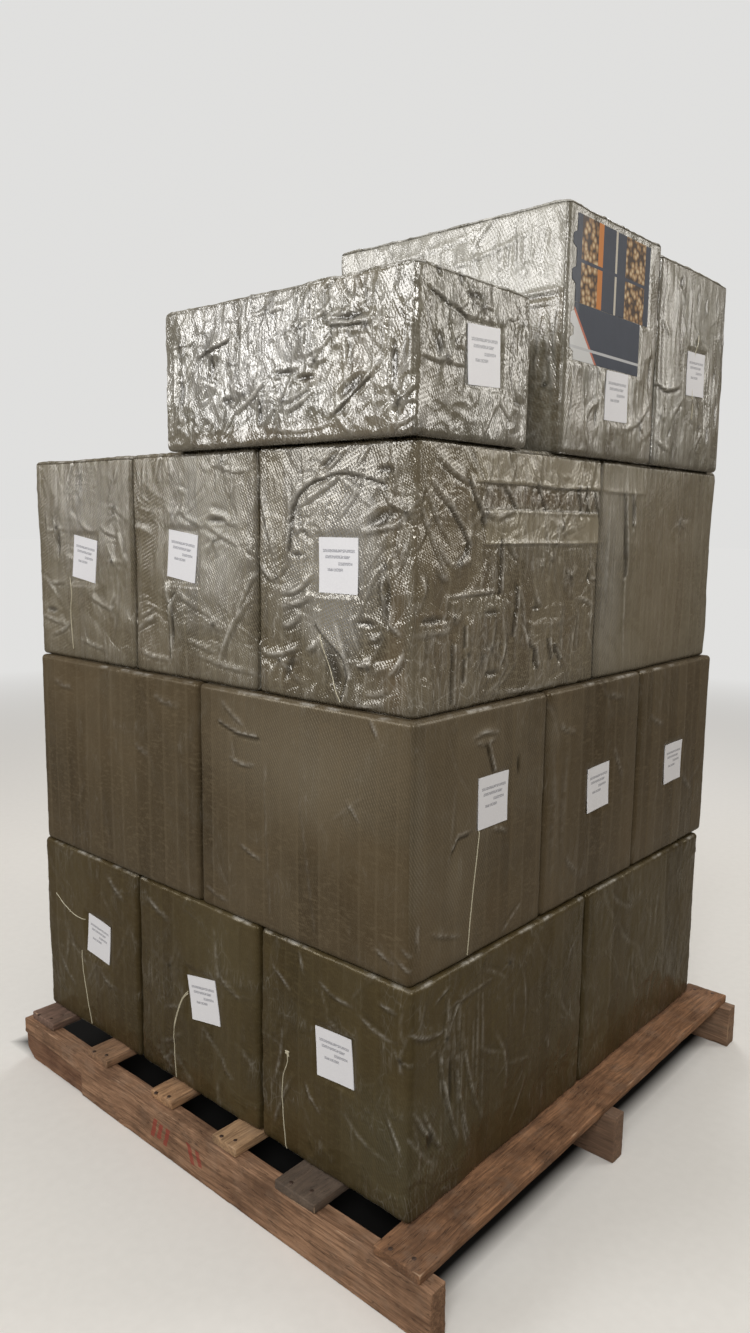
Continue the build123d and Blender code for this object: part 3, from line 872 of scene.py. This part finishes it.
class Folds:  # the height of the folds on one side, their painted shade, painted glints and tones
    def __init__(self, u, v, step):
        self.u, self.v, self.step = u, v, step
        self.height, self.shade, self.crest, self.tone = (np.zeros(len(u)) for _ in range(4))

    def crease(self, u0, v0, u1, v1, width, height, bow, fromEnd=False):  # a sharp crest beside a hollow, with a painted glint on the crest and painted shade in the hollow
        along, side, length = lineMeasure(self.u, self.v, u0, v0, u1, v1)
        t = np.clip(along / length, 0, 1)
        side = (side - bow * np.sin(pi * t)) / width
        beyond = np.maximum(0, np.maximum(-along, along - length))
        ends = (1 - t) ** 0.7 if fromEnd else np.sin(pi * np.clip(t, 0.02, 0.98)) ** 0.5
        reach = np.exp(-(beyond / width) ** 2) * ends
        valley = np.exp(-((side - 1.5) / 0.8) ** 2) * reach
        self.height += height * (np.exp(-np.abs(side) * 1.2) * reach - 0.5 * valley)
        self.shade = np.maximum(self.shade, valley * min(0.6, height / 7))
        line = max(0.45, 0.62 * self.step / width)  # as thin as the lattice can show
        level = min(1, (height / 3.5) ** 1.6) * 0.45 / line
        self.crest = np.maximum(self.crest, np.exp(-(side / line) ** 2) * reach * level)

    def slit(self, points):  # the open edge of a flap, raised on its left with a painted glint, and painted shade beside it
        best = np.full(len(self.u), 1e9)
        signed = np.zeros(len(self.u))
        for start, end in zip(points, points[1:]):
            along, side, length = lineMeasure(self.u, self.v, *start, *end)
            gap = np.hypot(side, np.maximum(0, np.maximum(-along, along - length)))
            signed = np.where(gap < best, side, signed)
            best = np.minimum(best, gap)
        lifted = np.where(signed < 0, np.exp(-best / 14), np.exp(-best / 2.5))
        self.crest = np.maximum(self.crest, 0.7 * np.exp(-((signed + 3) / 2.6) ** 2) * (best < 8))
        self.height += 3.2 * lifted - 2.6 * np.exp(-((signed - 5) / 4) ** 2) * (best < 16)
        wide = max(2.8, 0.75 * self.step)
        self.shade = np.maximum(self.shade, np.exp(-((signed - wide) / wide) ** 2) * (best < 2.6 * wide))

    def hollow(self, u0, v0, wide, tall, depth, lean=0):
        turn = radians(lean)
        across = (self.u - u0) * cos(turn) - (self.v - v0) * sin(turn)
        along = (self.u - u0) * sin(turn) + (self.v - v0) * cos(turn)
        r = np.hypot(across / wide, along / tall)
        self.height += depth * (0.7 * np.exp(-((r - 1.25) / 0.35) ** 2) - np.exp(-r ** 2))
        self.shade = np.maximum(self.shade, 0.9 * np.exp(-(r / 0.85) ** 4))

    def pinch(self, rng, u0, v0, reach, rays, height):  # folds that fan out from one caught spot
        start = rng.uniform(0, 2 * pi)
        for ray in range(rays):
            turn = start + (ray + rng.uniform(-0.3, 0.3)) * 2 * pi / rays
            far = reach * rng.uniform(0.45, 1.0)
            ends = (u0 + 5 * cos(turn), v0 + 5 * sin(turn), u0 + far * cos(turn), v0 + far * sin(turn))
            width, rise = rng.uniform(4, 6.5), height * rng.uniform(0.5, 1.0)
            self.crease(*ends, width, rise, rng.normal(0, 0.05) * far, fromEnd=True)
        self.hollow(u0, v0, 8, 8, 1.2)

    def strewn(self, rng, wide, tall, looks, share):  # folds that fall anywhere on the side
        share = share * wide * tall / (foldSide[0] * foldSide[1])
        for number in range(int(looks["folds"] * share)):
            u, v = rng.uniform(0, wide), rng.uniform(0, tall)
            lean = rng.normal(pi / 2, 0.5) if number % 3 else rng.uniform(0, pi)
            length = rng.uniform(0.08, 0.34) * tall
            height = looks["foldHeight"] * rng.uniform(0.3, 1.0)
            ends = (u, v, u + length * cos(lean), v + length * sin(lean))
            self.crease(*ends, rng.uniform(4.0, 7.5), height, rng.normal(0, 0.07) * length)
        for number in range(int(looks["pinches"] * share + 0.5)):
            u, v = rng.uniform(0.05, 0.95) * wide, rng.uniform(0.08, 0.95) * tall
            self.pinch(rng, u, v, rng.uniform(40, 100), int(rng.integers(4, 8)), looks["foldHeight"] * 0.8)

    def placed(self, rng, folds):
        for *ends, width, height, bow in folds.get("creases", []):
            self.crease(*ends, min(width, 8.0) * 0.75, height, bow + rng.normal(0, 2.5))
        for points in folds.get("slits", []):
            self.slit(points)
        for u0, u1, v0, v1, count in folds.get("streaks", []):
            for _ in range(count):
                u = rng.uniform(u0, u1)
                low = v0 + rng.uniform(0, 0.4) * (v1 - v0)
                high = v1 - rng.uniform(0, 0.3) * (v1 - v0)
                ends = (u, high, u + rng.normal(0, 3), low)
                self.crease(*ends, rng.uniform(2.2, 3.6), rng.uniform(1.4, 2.8), 0)
        for hollow in folds.get("hollows", []):
            self.hollow(*hollow)
        for pinch in folds.get("pinches", []):
            self.pinch(rng, *pinch)
        for u0, v0, wide, tall, level in folds.get("tones", []):
            self.tone += level * np.exp(-(((self.u - u0) / wide) ** 2 + ((self.v - v0) / tall) ** 2) ** 1.5)


def sideMeasure(box, side, points):  # distance along and up a side, and its two lengths, seen from outside
    axis, _ = sideWays[side]
    size = box.high - box.low
    if axis == 2:
        return points[:, 0] - box.low[0], points[:, 1] - box.low[1], size[0], size[1]
    across = 1 - axis
    u = points[:, across] - box.low[across]
    if side in ("x-", "y+"):
        u = size[across] - u
    return u, points[:, 2] - box.low[2], size[across], size[2]


def tapeStrips(rng, low, high):  # upright strips of tape side by side: edges and how milky each one is
    first, last, end = tapeMargins
    edges = [low + rng.uniform(first, tapeWidth)]
    while edges[-1] < high - last:
        edges.append(edges[-1] + tapeWidth * rng.uniform(0.75, 1.2))
    return np.array([e for e in edges if e < high - end]), rng.uniform(0, 1, len(edges) + 1)


def coveredTop(wrap, points, top):  # 1 where another carton stands on the top
    covered = np.zeros(len(points))
    for other in shownSides:
        low, high = nodeBox(other)
        if other != wrap and abs(low[2] - top) < 1:
            inside = np.minimum(points[:, :2] - low[:2], high[:2] - points[:, :2]).min(axis=1)
            covered = np.maximum(covered, smoothStep(inside, -zoneMargin, 2))
    return covered


def clearOf(node, points):  # 0 under a thing that lies flat on the wrap and 1 away from it
    clear = np.ones(len(points))
    axis = 1 if node == "labels_front" else 0
    face = [1 - axis, 2]
    for low, high in flatThings[node]:
        near = np.abs(points[:, axis] - low[axis]) < 25
        inside = np.minimum(points[:, face] - low[face], high[face] - points[:, face]).min(axis=1)
        spot = 1 - smoothStep(inside, -zoneMargin, 0)
        clear = np.where(near, np.minimum(clear, spot), clear)
    return clear


def ringFaces(start, rings, corners):  # quads from ring to ring of points, and both ends closed
    faces = []
    for ring, corner in product(range(rings - 1), range(corners)):
        first = start + ring * corners
        a, b = first + corner, first + (corner + 1) % corners
        faces.append((a, b, b + corners, a + corners))
    last = start + (rings - 1) * corners
    return faces + [tuple(range(start, start + corners))[::-1], tuple(range(last, last + corners))]


def tube(path, radius, corners=6):  # rings along a path, as points and faces
    ahead = np.gradient(path, axis=0)
    ahead /= np.linalg.norm(ahead, axis=1)[:, None]
    side = np.cross(ahead, (0.31, 0.27, 0.91))
    side /= np.linalg.norm(side, axis=1)[:, None]
    up = np.cross(side, ahead)
    turns = np.arange(corners) * 2 * pi / corners
    rings = [path + radius * (cos(t) * side + sin(t) * up) for t in turns]
    return np.stack(rings, axis=1).reshape(-1, 3), ringFaces(0, len(path), corners)


def roundPath(points, count=14):  # a smooth line through points, by Catmull and Rom's rule
    p = np.array([points[0], *points, points[-1]], float)
    t = np.linspace(0, 1, count, endpoint=False)[:, None]
    parts = []
    for a, b, c, d in zip(p, p[1:], p[2:], p[3:]):
        square = (2 * a - 5 * b + 4 * c - d) * t ** 2
        cube = (3 * b - a - 3 * c + d) * t ** 3
        parts.append(0.5 * (2 * b + (c - a) * t + square + cube))
    return np.concatenate([*parts, p[-1:]])


def threadOn(box, side, route):  # a thread laid over the folds of one side
    axis, _ = sideWays[side]
    across = 1 - axis
    pick = box.onSide(side)
    u, v, _, _ = sideMeasure(box, side, box.sharp[pick])
    spots = []
    for a, b in roundPath(route):
        near = pick[np.argmin((u - a) ** 2 + (v - b) ** 2)]
        spot = box.points[near].copy()
        spot[across] = box.low[across] + a
        spot[2] = box.low[2] + b
        spots.append(spot + box.out[near] * threadLift)
    spots = np.array(spots)
    for _ in range(4):  # drawn tight between the crests
        spots[1:-1, axis] = (spots[:-2, axis] + spots[1:-1, axis] + spots[2:, axis]) / 3
    return tube(spots, threadRadius)


def threadsOn(box, wrap):  # all threads of a wrap as one set of points and faces
    points, faces = np.zeros((0, 3)), []
    for side in shownSides[wrap]:
        for route in threads.get((wrap, side), []):
            more, moreFaces = threadOn(box, side, route)
            faces += [tuple(i + len(points) for i in face) for face in moreFaces]
            points = np.concatenate([points, more])
    return (points, faces) if faces else None


def wrapLattice(wrap, strips, near):  # with a row of points on both sides of each edge of the tape
    low, high = nodeBox(wrap)
    shown = shownSides[wrap]
    sizes = [near if side in shown else steps["far"] for side in ("y-", "x+")]
    levels = set()
    for side in shown:
        for bar in placedFolds.get((wrap, side), {}).get("bars", []):
            levels |= {low[2] + bar[2], low[2] + bar[3]}
    rows = (strips[0][0], strips[1][0], sorted(levels))
    marks = [[at + k for at in row for k in (-tapeEdge, tapeEdge)] for row in rows]
    return RoundedBox(low, high, wrapEdge, [*sizes, min(sizes)], shown, marks=marks)


def paintTape(tape, seam, pick, at, u, v, strips, bars):  # upright strips first, then the bars over them
    edges, levels = strips
    tape[pick] = levels[np.searchsorted(edges, at)]
    seam[pick] = np.abs(at[:, None] - edges[None, :]).min(axis=1) < seamHalf
    for u0, u1, v0, v1, level in bars:
        inBar = (u > u0) & (u < u1) & (v > v0) & (v < v1)
        tape[pick] = np.where(inBar, level, tape[pick])


def makeWrap(wrap):
    low, high = nodeBox(wrap)
    tier = wrap[5:11]
    looks = wrapLooks[tier]
    seed = seedOf(wrap, 3)
    rng = np.random.default_rng(seed)
    strips = [tapeStrips(rng, low[axis], high[axis]) for axis in (0, 1)]
    near = closeSteps.get(wrap, steps[tier])
    box = wrapLattice(wrap, strips, near)
    points = box.points
    relief = layeredNoise(points, lumpSize, 2, seed) * looks["lumps"]
    warp = np.stack([layeredNoise(points, warpSize, 2, seed + 11 * k) for k in (1, 2, 3)], axis=1) * warpReach
    crush = 0
    for size, sharpness, k, share in crushes:
        crush = crush + share * ridges(points + warp, size, sharpness, seed + k) ** 2
    names = ("tape", "seam", "crest", "hollow", "milk", "tone", "calm")
    tape, seam, crest, hollow, milk, tone, calm = (np.zeros(len(points)) for _ in names)
    flat = np.ones(len(points))
    for side in shownSides[wrap]:
        pick = box.onSide(side)
        upright = side != "z+"
        u, v, wide, tall = sideMeasure(box, side, points[pick])
        placed = placedFolds.get((wrap, side), {})
        folds = Folds(u, v, near if side in ("y-", "x+") else steps["far"])
        rest = calmSides.get((wrap, side), 0)
        folds.strewn(rng, wide, tall, looks, 1 - rest)
        folds.placed(rng, placed)
        rise = looks["crown"] * (1 - (2 * u / wide - 1) ** 2) * (1 - (2 * v / tall - 1) ** 2)
        margin = np.minimum(np.minimum(u, wide - u), np.minimum(v, tall - v))
        relief[pick] += rise + folds.height * (0.45 + 0.55 * smoothStep(margin, 0, 18))
        # painted shade along the foot of each upright side and its upright edges
        foot = 0.55 * np.exp(-v / looks["foot"]) + 0.30 * np.exp(-np.minimum(u, wide - u) / 7)
        hollow[pick] = np.maximum(hollow[pick], np.maximum(folds.shade, foot * upright))
        # painted highlight along the top edge of each upright side, broken up, laid in with the crests
        rim = np.exp(-((v - tall + 3.5) / 2.2) ** 2) * upright
        rim = rim * smoothStep(smoothNoise(points[pick] / 45.0, seed + 90), -0.05, 0.45)
        crest[pick] = np.maximum(crest[pick], np.maximum(folds.crest, 0.75 * rim))
        tone[pick], calm[pick] = folds.tone, rest
        # painted reflection of broad light on the film, from a given height up
        reflectedShare, reflectedFrom = filmReflectionSides.get((wrap, side), (0, 0))
        milk[pick] = reflectedShare * smoothStep(v, reflectedFrom - 12, reflectedFrom + 12)
        if upright:
            across = 1 - sideWays[side][0]
            at = points[pick, across]
            paintTape(tape, seam, pick, at, u, v, strips[across], placed.get("bars", []))
        else:
            flat[pick] = np.minimum(flat[pick], 1 - coveredTop(wrap, points[pick], high[2]))
    relief += looks["crush"] * (crush - 0.3) * (1 - calm) + tape * tapeRise
    for node in flatThings:
        clear = clearOf(node, points)
        flat = np.minimum(flat, clear)
        hollow = hollow * (0.3 + 0.7 * clear)
    relief = np.clip(relief, deepestDent, highestFold) * box.weight * flat
    atEdge = smoothStep(np.abs(box.out).max(axis=1), 1.0, 0.93)
    relief = np.maximum(relief, deepestDent + (deepestEdgeDent - deepestDent) * atEdge)
    box.points = points + box.out * relief[:, None]
    extra = threadsOn(box, wrap)
    materials = [finishes[tier], threadMaterial] if extra else [finishes[tier]]
    paints = dict(zip(names, (tape, seam, crest * flat, hollow, milk, tone, calm)))
    piece = box.build(wrap + "_cloth", materials, paints, extra)
    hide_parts(wrap)
    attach(piece, "root")
    return len(box.quads) * 2


def labelGroups(node, reach=160.0):  # the corners of each flat label in a node
    part = frame["nodes"][node]
    points = np.array([part.matrix_world @ v.co for v in part.data.vertices]) / mm
    groups, left = [], list(range(len(points)))
    while left:
        group = [i for i in left if np.linalg.norm(points[i] - points[left[0]]) < reach]
        groups.append(points[group])
        left = [i for i in left if i not in group]
    return groups


shownSides = {}
for wrapName in (n for n in frame["nodes"] if n.startswith("wrap_")):
    shownSides[wrapName] = [s for s, words in sideWords.items() if any(word in wrapName for word in words)]
flatThings = {}
for labelNode in ("labels_front", "labels_right"):
    flatThings[labelNode] = [(g.min(axis=0), g.max(axis=0)) for g in labelGroups(labelNode)]
for card in ("card_upper", "card_lower"):
    flatThings[card] = [nodeBox(card)]
threadMaterial = threadFinish()
finishes = {tier: wrapFinish("wrapped cloth " + tier[-1], looks) for tier, looks in wrapLooks.items()}
print("wraps are in, triangles:", sum(makeWrap(wrap) for wrap in shownSides))


# Pallet wood, in millimetres where nothing else is said

woodPieces = {
    "stringer_front": {"light": (0.42, 0.250, 0.152), "dark": (0.175, 0.093, 0.052), "grey": 0.03},
    "stringer_middle": {"light": (0.30, 0.18, 0.115), "dark": (0.15, 0.09, 0.058), "grey": 0.2},
    "stringer_rear": {"light": (0.38, 0.235, 0.15), "dark": (0.19, 0.115, 0.073), "grey": 0.12},
    "deck_board_1": {"light": (0.30, 0.18, 0.135), "dark": (0.14, 0.085, 0.062), "grey": 0.2},
    "deck_board_2": {"light": (0.42, 0.25, 0.145), "dark": (0.20, 0.115, 0.065), "grey": 0.08},
    "deck_board_3": {"light": (0.52, 0.31, 0.17), "dark": (0.26, 0.15, 0.080), "grey": 0.04},
    "deck_board_4": {"light": (0.54, 0.35, 0.20), "dark": (0.29, 0.18, 0.10), "grey": 0.04},
    "deck_board_5": {"light": (0.13, 0.090, 0.062), "dark": (0.065, 0.045, 0.032), "grey": 0.3},
    "deck_board_6": {"light": (0.38, 0.20, 0.105), "dark": (0.15, 0.076, 0.040), "grey": 0.03},
}
# Faded red strokes of a brush on the front stringer, in metres: foot x, foot z, lean, height
paintStrokes = [
    (-0.122, 0.030, 0.30, 0.048), (-0.098, 0.034, 0.30, 0.040), (-0.074, 0.028, 0.30, 0.046),
    (0.030, 0.030, -0.40, 0.044), (0.056, 0.036, -0.40, 0.034),
]
strokeHalf, strokeRagged, strokeRed = 0.0110, 0.008, (0.30, 0.035, 0.028)
timberEdge = 2.5
timberSteps = {"across": 8.0, "along": 15.0, "stringer_front": [9.0, 8.0, 3.6]}
splitLength, splitHeight, splitEndHeight, splitDepth = 274.0, 70.0, 57.0, 7.0
wornCorner = (34.0, 24.0)
nailRadius, nailCorners = 4.6, 10
nailRings = ((1.0, -1.5), (1.0, 0.5), (0.7, 0.9))  # share of the radius, height over the board
nailSpots = ((0.28, -6.0), (0.70, 5.0))  # share of the board's width, shift from the stringer's middle


def woodFinish(name, light, dark, axis, grey):
    finish = Finish(name, IOR=1.4)
    place = finish.place()
    squeeze = [12.0, 12.0, 12.0]
    squeeze[axis] = 0.7
    shifted = finish.shift(place, finish.noise(place, 3.0, 2.0) * 0.03)
    shapes = ((1, (7.0, 6.0, 0.68, 1.2)), (5, (5.0, 3.0, 0.6)), (1.6, (6.0, 2.0, 0.5)))
    grain, lines, cracks = (
        finish.noise(finish.stretch(shifted, tuple(s * finer for s in squeeze)), *shape)
        for finer, shape in shapes
    )
    stain = finish.noise(place, 7.0, 4.0, 0.65)
    dust = finish.noise(place, 16.0, 4.0, 0.7)
    crack = finish.ramp(cracks, (0.485, 0.0), (0.50, 1.0), (0.515, 0.0))
    colour = finish.layered(dark, [
        (finish.rise(grain, 0.36, 0.62), light),
        (finish.rise(lines, 0.48, 0.70) * 0.5, shade(dark, 0.5)),
        (finish.rise(stain, 0.46, 0.66) * 0.75, shade(dark, 0.6)),
        (finish.rise(dust, 0.50, 0.75) * 0.30, (0.33, 0.25, 0.19)),
        (crack * finish.rise(stain, 0.40, 0.55) * 0.8, shade(dark, 0.30)),
        (grey, (0.16, 0.13, 0.11)),
        # the split on the front stringer: its own darker wood, with painted shade in the recess and under its
        # top edge
        (finish.paint("scar") * 0.85, (dark[0] * 0.55, dark[1] * 0.38, dark[2] * 0.36)),
        (finish.paint("raw") * 0.7, (0.52, 0.37, 0.25)),
    ])
    if axis == 0:
        x, _, z = finish.xyz(place)
        ragged = finish.noise(place, 90.0, 2.0) * strokeRagged
        for start, foot, lean, tall in paintStrokes:
            off = abs(x - start - (z - foot) * lean) + ragged
            inside = (1 - (off > strokeHalf)) * (z > foot) * (1 - (z > foot + tall))
            colour = finish.mix(inside * finish.paint("front") * 0.68, colour, strokeRed)
    rough = finish.ramp(grain, (0.3, 0.75), (0.7, 0.92))
    normal = finish.bump(grain + lines * 0.6 - crack * 0.8, 0.6, 0.0018)
    return finish.finishWith(Base_Color=colour, Roughness=rough, Normal=normal)


def wearSplit(box):  # the lower left of the front stringer, split away along the grain
    x, y, z = box.points.T
    left, front = box.low[0], box.low[1]
    along = x - left
    ragged = layeredNoise(box.points * (0.12, 1.0, 0.2), 8.0, 2, 77) * 3.0
    line = splitHeight + (splitEndHeight - splitHeight) * along / splitLength + ragged
    inside = smoothStep(line - z, -1.5, 2.5) * smoothStep(splitLength - along, -4, 4)
    depth = (splitDepth + ragged * 0.4) * inside
    onFront = y < front + 8
    box.points[:, 1] = np.where(onFront, np.maximum(y, front + depth), y)
    cut = np.clip(1 - (along / wornCorner[0] + z / wornCorner[1]), 0, 1)
    box.points[:, 0] += cut * wornCorner[0] * 0.5
    box.points[:, 2] += cut * wornCorner[1] * 0.5
    # painted shade as a dark line under the split's top edge; the split face darker, partly its own wood,
    # partly painted shade
    edge = np.exp(-((line - z - 3) / 4) ** 2) * (along < splitLength)
    return np.where(onFront, np.maximum(0.55 * inside, edge), 0)


def nailHeads(board):  # two nails over each outer stringer
    low, high = nodeBox(board)
    points, faces = [], []
    turns = [k * 2 * pi / nailCorners for k in range(nailCorners)]
    for stringer, (share, shift) in product(("stringer_front", "stringer_rear"), nailSpots):
        under = nodeBox(stringer)
        x, y = low[0] + share * (high[0] - low[0]), (under[0][1] + under[1][1]) / 2 + shift
        faces += ringFaces(len(points), len(nailRings), nailCorners)
        for part, rise in nailRings:
            radius = nailRadius * part
            points += [(x + radius * cos(t), y + radius * sin(t), high[2] + rise) for t in turns]
    return points, faces


def nailFinish():
    finish = Finish("nail steel", Metallic=0.8, Roughness=0.6)
    rust = finish.noise(finish.place(), 300.0, 3.0)
    return finish.finishWith(Base_Color=finish.mix(rust, (0.16, 0.12, 0.10), (0.07, 0.04, 0.03)))


def makeTimber(node, looks):
    low, high = nodeBox(node)
    axis = 0 if node.startswith("stringer") else 1
    sizes = [timberSteps["along"] if a == axis else timberSteps["across"] for a in range(3)]
    box = RoundedBox(low, high, timberEdge, timberSteps.get(node, sizes), sideWays, bends=2)
    seed = seedOf(node, 5)
    stretch = np.array([1.0, 1.0, 1.0])
    stretch[axis] = 0.08
    rough = layeredNoise(box.points * stretch, 12.0, 3, seed) * 0.7
    bow = layeredNoise(box.points * stretch, 240.0, 1, seed + 5) * 1.2
    chipped = smoothStep(layeredNoise(box.points, 45.0, 2, seed + 9), 0.35, 0.75)
    chipped = chipped * smoothStep(np.abs(box.out).max(axis=1), 0.99, 0.85) * 3.5
    box.points = box.points + box.out * (np.clip(rough + bow, -2.5, 0.6) - chipped)[:, None]
    zero = np.zeros(len(box.points))
    paints = {"scar": zero, "raw": np.clip(chipped, 0, 1), "front": zero}
    if node == "stringer_front":
        paints |= {"scar": wearSplit(box), "front": box.out[:, 1] < -0.7}
    materials = [woodFinish("wood " + node, looks["light"], looks["dark"], axis, looks["grey"])]
    extra = nailHeads(node) if axis == 1 else None
    if extra:
        materials.append(nailMaterial)
    piece = box.build(node + "_timber", materials, paints, extra)
    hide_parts(node)
    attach(piece, "root")
    return len(box.quads) * 2


nailMaterial = nailFinish()
print("pallet is in, triangles:", sum(makeTimber(node, looks) for node, looks in woodPieces.items()))


# Labels, cards and carton board

labelRows = [(0.76, 0.10, 0.92), (0.65, 0.16, 0.80), (0.53, 0.50, 0.86), (0.42, 0.22, 0.62)]  # middle, ends
labelRowHalf = 0.028
labelLift = 1.5  # how far a label's middle stands off its wrap, in mm
labelSink = 0.2
labelGrid = 14
cardBands = {  # stripes from the bottom layer up: along which way, from, to, colour
    "card_upper": [
        ("across", 0.10, 0.30, "mottle"), ("across", 0.30, 0.36, (0.55, 0.20, 0.04)),
        ("across", 0.52, 0.545, (0.55, 0.52, 0.45)), ("across", 0.66, 0.93, "mottle"),
        ("up", 0.46, 0.50, (0.04, 0.05, 0.08)),
    ],
    "card_lower": [
        ("slant", 0.0, 0.34, (0.62, 0.64, 0.66)), ("slant", 0.34, 0.37, (0.50, 0.16, 0.10)),
        ("up", 0.20, 0.25, (0.50, 0.52, 0.55)),
    ],
}


def band(value, start, end):
    return (value > start) * (1 - (value > end))


def boardFinish():
    finish = Finish("carton board", Roughness=0.85)
    grain = finish.noise(finish.stretch(finish.place(), (1.0, 1.0, 0.1)), 300.0, 3.0)
    colour = finish.mix(grain, (0.36, 0.24, 0.14), (0.44, 0.30, 0.18))
    return finish.finishWith(Base_Color=colour, Normal=finish.bump(grain, 0.2, 0.0005))


def paperFinish():
    finish = Finish("label paper", Roughness=0.45, Coat_Weight=0.15)
    fibre = finish.noise(finish.place(), 300.0, 3.0)
    across, up = finish.paint("across"), finish.paint("up")
    cut = finish.noise(finish.node("ShaderNodeCombineXYZ", {}, {0: across, 1: up * 3.0}), 26.0, 1.0)
    ink = 0.0
    for middle, start, end in labelRows:  # rows of short grey dashes that spell nothing
        row = 1 - (abs(up - middle) > labelRowHalf)
        ink = row * band(across, start, end) + ink
    ink = ink * finish.rise(cut, 0.40, 0.46)
    colour = finish.mix(fibre, (0.74, 0.76, 0.82), (0.82, 0.84, 0.90))
    return finish.finishWith(Base_Color=finish.mix(ink * 0.65, colour, (0.16, 0.17, 0.22)))


def gridRim(n):  # once round the outer points of a square grid
    top, right = range(n), range(2 * n - 1, n * n, n)
    bottom, left = range(n * n - 2, n * n - n - 1, -1), range(n * n - 2 * n, 0, -n)
    return [*top, *right, *bottom, *left]


def makeLabels(node):  # thin sheets, bowed a little, in the places of the frame's own labels
    axis, sign = (1, -1) if node == "labels_front" else (0, 1)
    points, faces, uv = [], [], []
    t = np.linspace(0, 1, labelGrid)
    for number, group in enumerate(labelGroups(node)):
        curls = np.random.default_rng(number + 40).uniform(0, 1.6, 4)
        flatPlace = group[np.argmax(group[:, axis] * sign), axis] - sign * labelSink
        u, v = group[:, 1 - axis], group[:, 2]
        corners = np.array([group[np.argmax(score)] for score in (-u - v, u - v, u + v, v - u)])
        for lift in (labelLift, 0.0):
            start = len(points)
            for b, a in product(t, t):
                weights = np.array([(1 - a) * (1 - b), a * (1 - b), a * b, (1 - a) * b])
                spot = weights @ corners
                wave = 0.5 * sin(3.1 * a + number) * cos(2.3 * b)
                spot[axis] = flatPlace + sign * (lift + (weights ** 3) @ curls + wave)
                points.append(spot)
                uv.append((a, b))
            for j, i in product(range(labelGrid - 1), repeat=2):
                k = start + j * labelGrid + i
                face = (k, k + 1, k + 1 + labelGrid, k + labelGrid)
                faces.append(face if lift else face[::-1])
        under = len(points) - labelGrid ** 2
        top = under - labelGrid ** 2
        rim = gridRim(labelGrid)
        for a, b in zip(rim, rim[1:] + rim[:1]):
            faces.append((top + b, top + a, under + a, under + b))
    paints = dict(zip(("across", "up"), np.array(uv).T))
    piece = newPiece(node + "_paper", (np.array(points) * mm).tolist(), faces, [paperFinish()], paints)
    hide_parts(node)
    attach(piece, "root")


def cardFinish(card):
    finish = Finish(card + " print", Roughness=0.50, IOR=1.33, Coat_Weight=0.08)
    low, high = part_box(card)
    place = finish.place()
    _, y, z = finish.xyz(place)
    across = (y - low[1]) / (high[1] - low[1])
    up = (z - low[2]) / (high[2] - low[2])
    ways = {"across": across, "up": up, "slant": across + up * 0.35}
    slate = finish.mix(finish.noise(place, 30.0, 3.0), (0.030, 0.040, 0.064), (0.042, 0.054, 0.084))
    mottled = ((0.15, (0.62, 0.50, 0.32)), (0.45, (0.30, 0.17, 0.07)), (0.7, (0.05, 0.03, 0.02)))
    mottle = finish.ramp(finish.cells(place, 75.0, "F1"), *mottled)
    colour = finish.layered(slate, [
        (band(ways[way], start, end), mottle if paint == "mottle" else paint)
        for way, start, end, paint in cardBands[card]
    ])
    crinkle = finish.noise(finish.stretch(place, (1.0, 1.0, 0.3)), 60.0, 4.0, 0.6)
    return finish.finishWith(Base_Color=colour, Normal=finish.bump(crinkle, 0.35, 0.003))


for labelNode in ("labels_front", "labels_right"):
    makeLabels(labelNode)
board = boardFinish()
for nodeName, node in frame["nodes"].items():
    if nodeName.startswith(("carton", "card")):
        node.data.materials.clear()
        node.data.materials.append(board if nodeName.startswith("carton") else cardFinish(nodeName))
print("labels, cards and cartons are in")
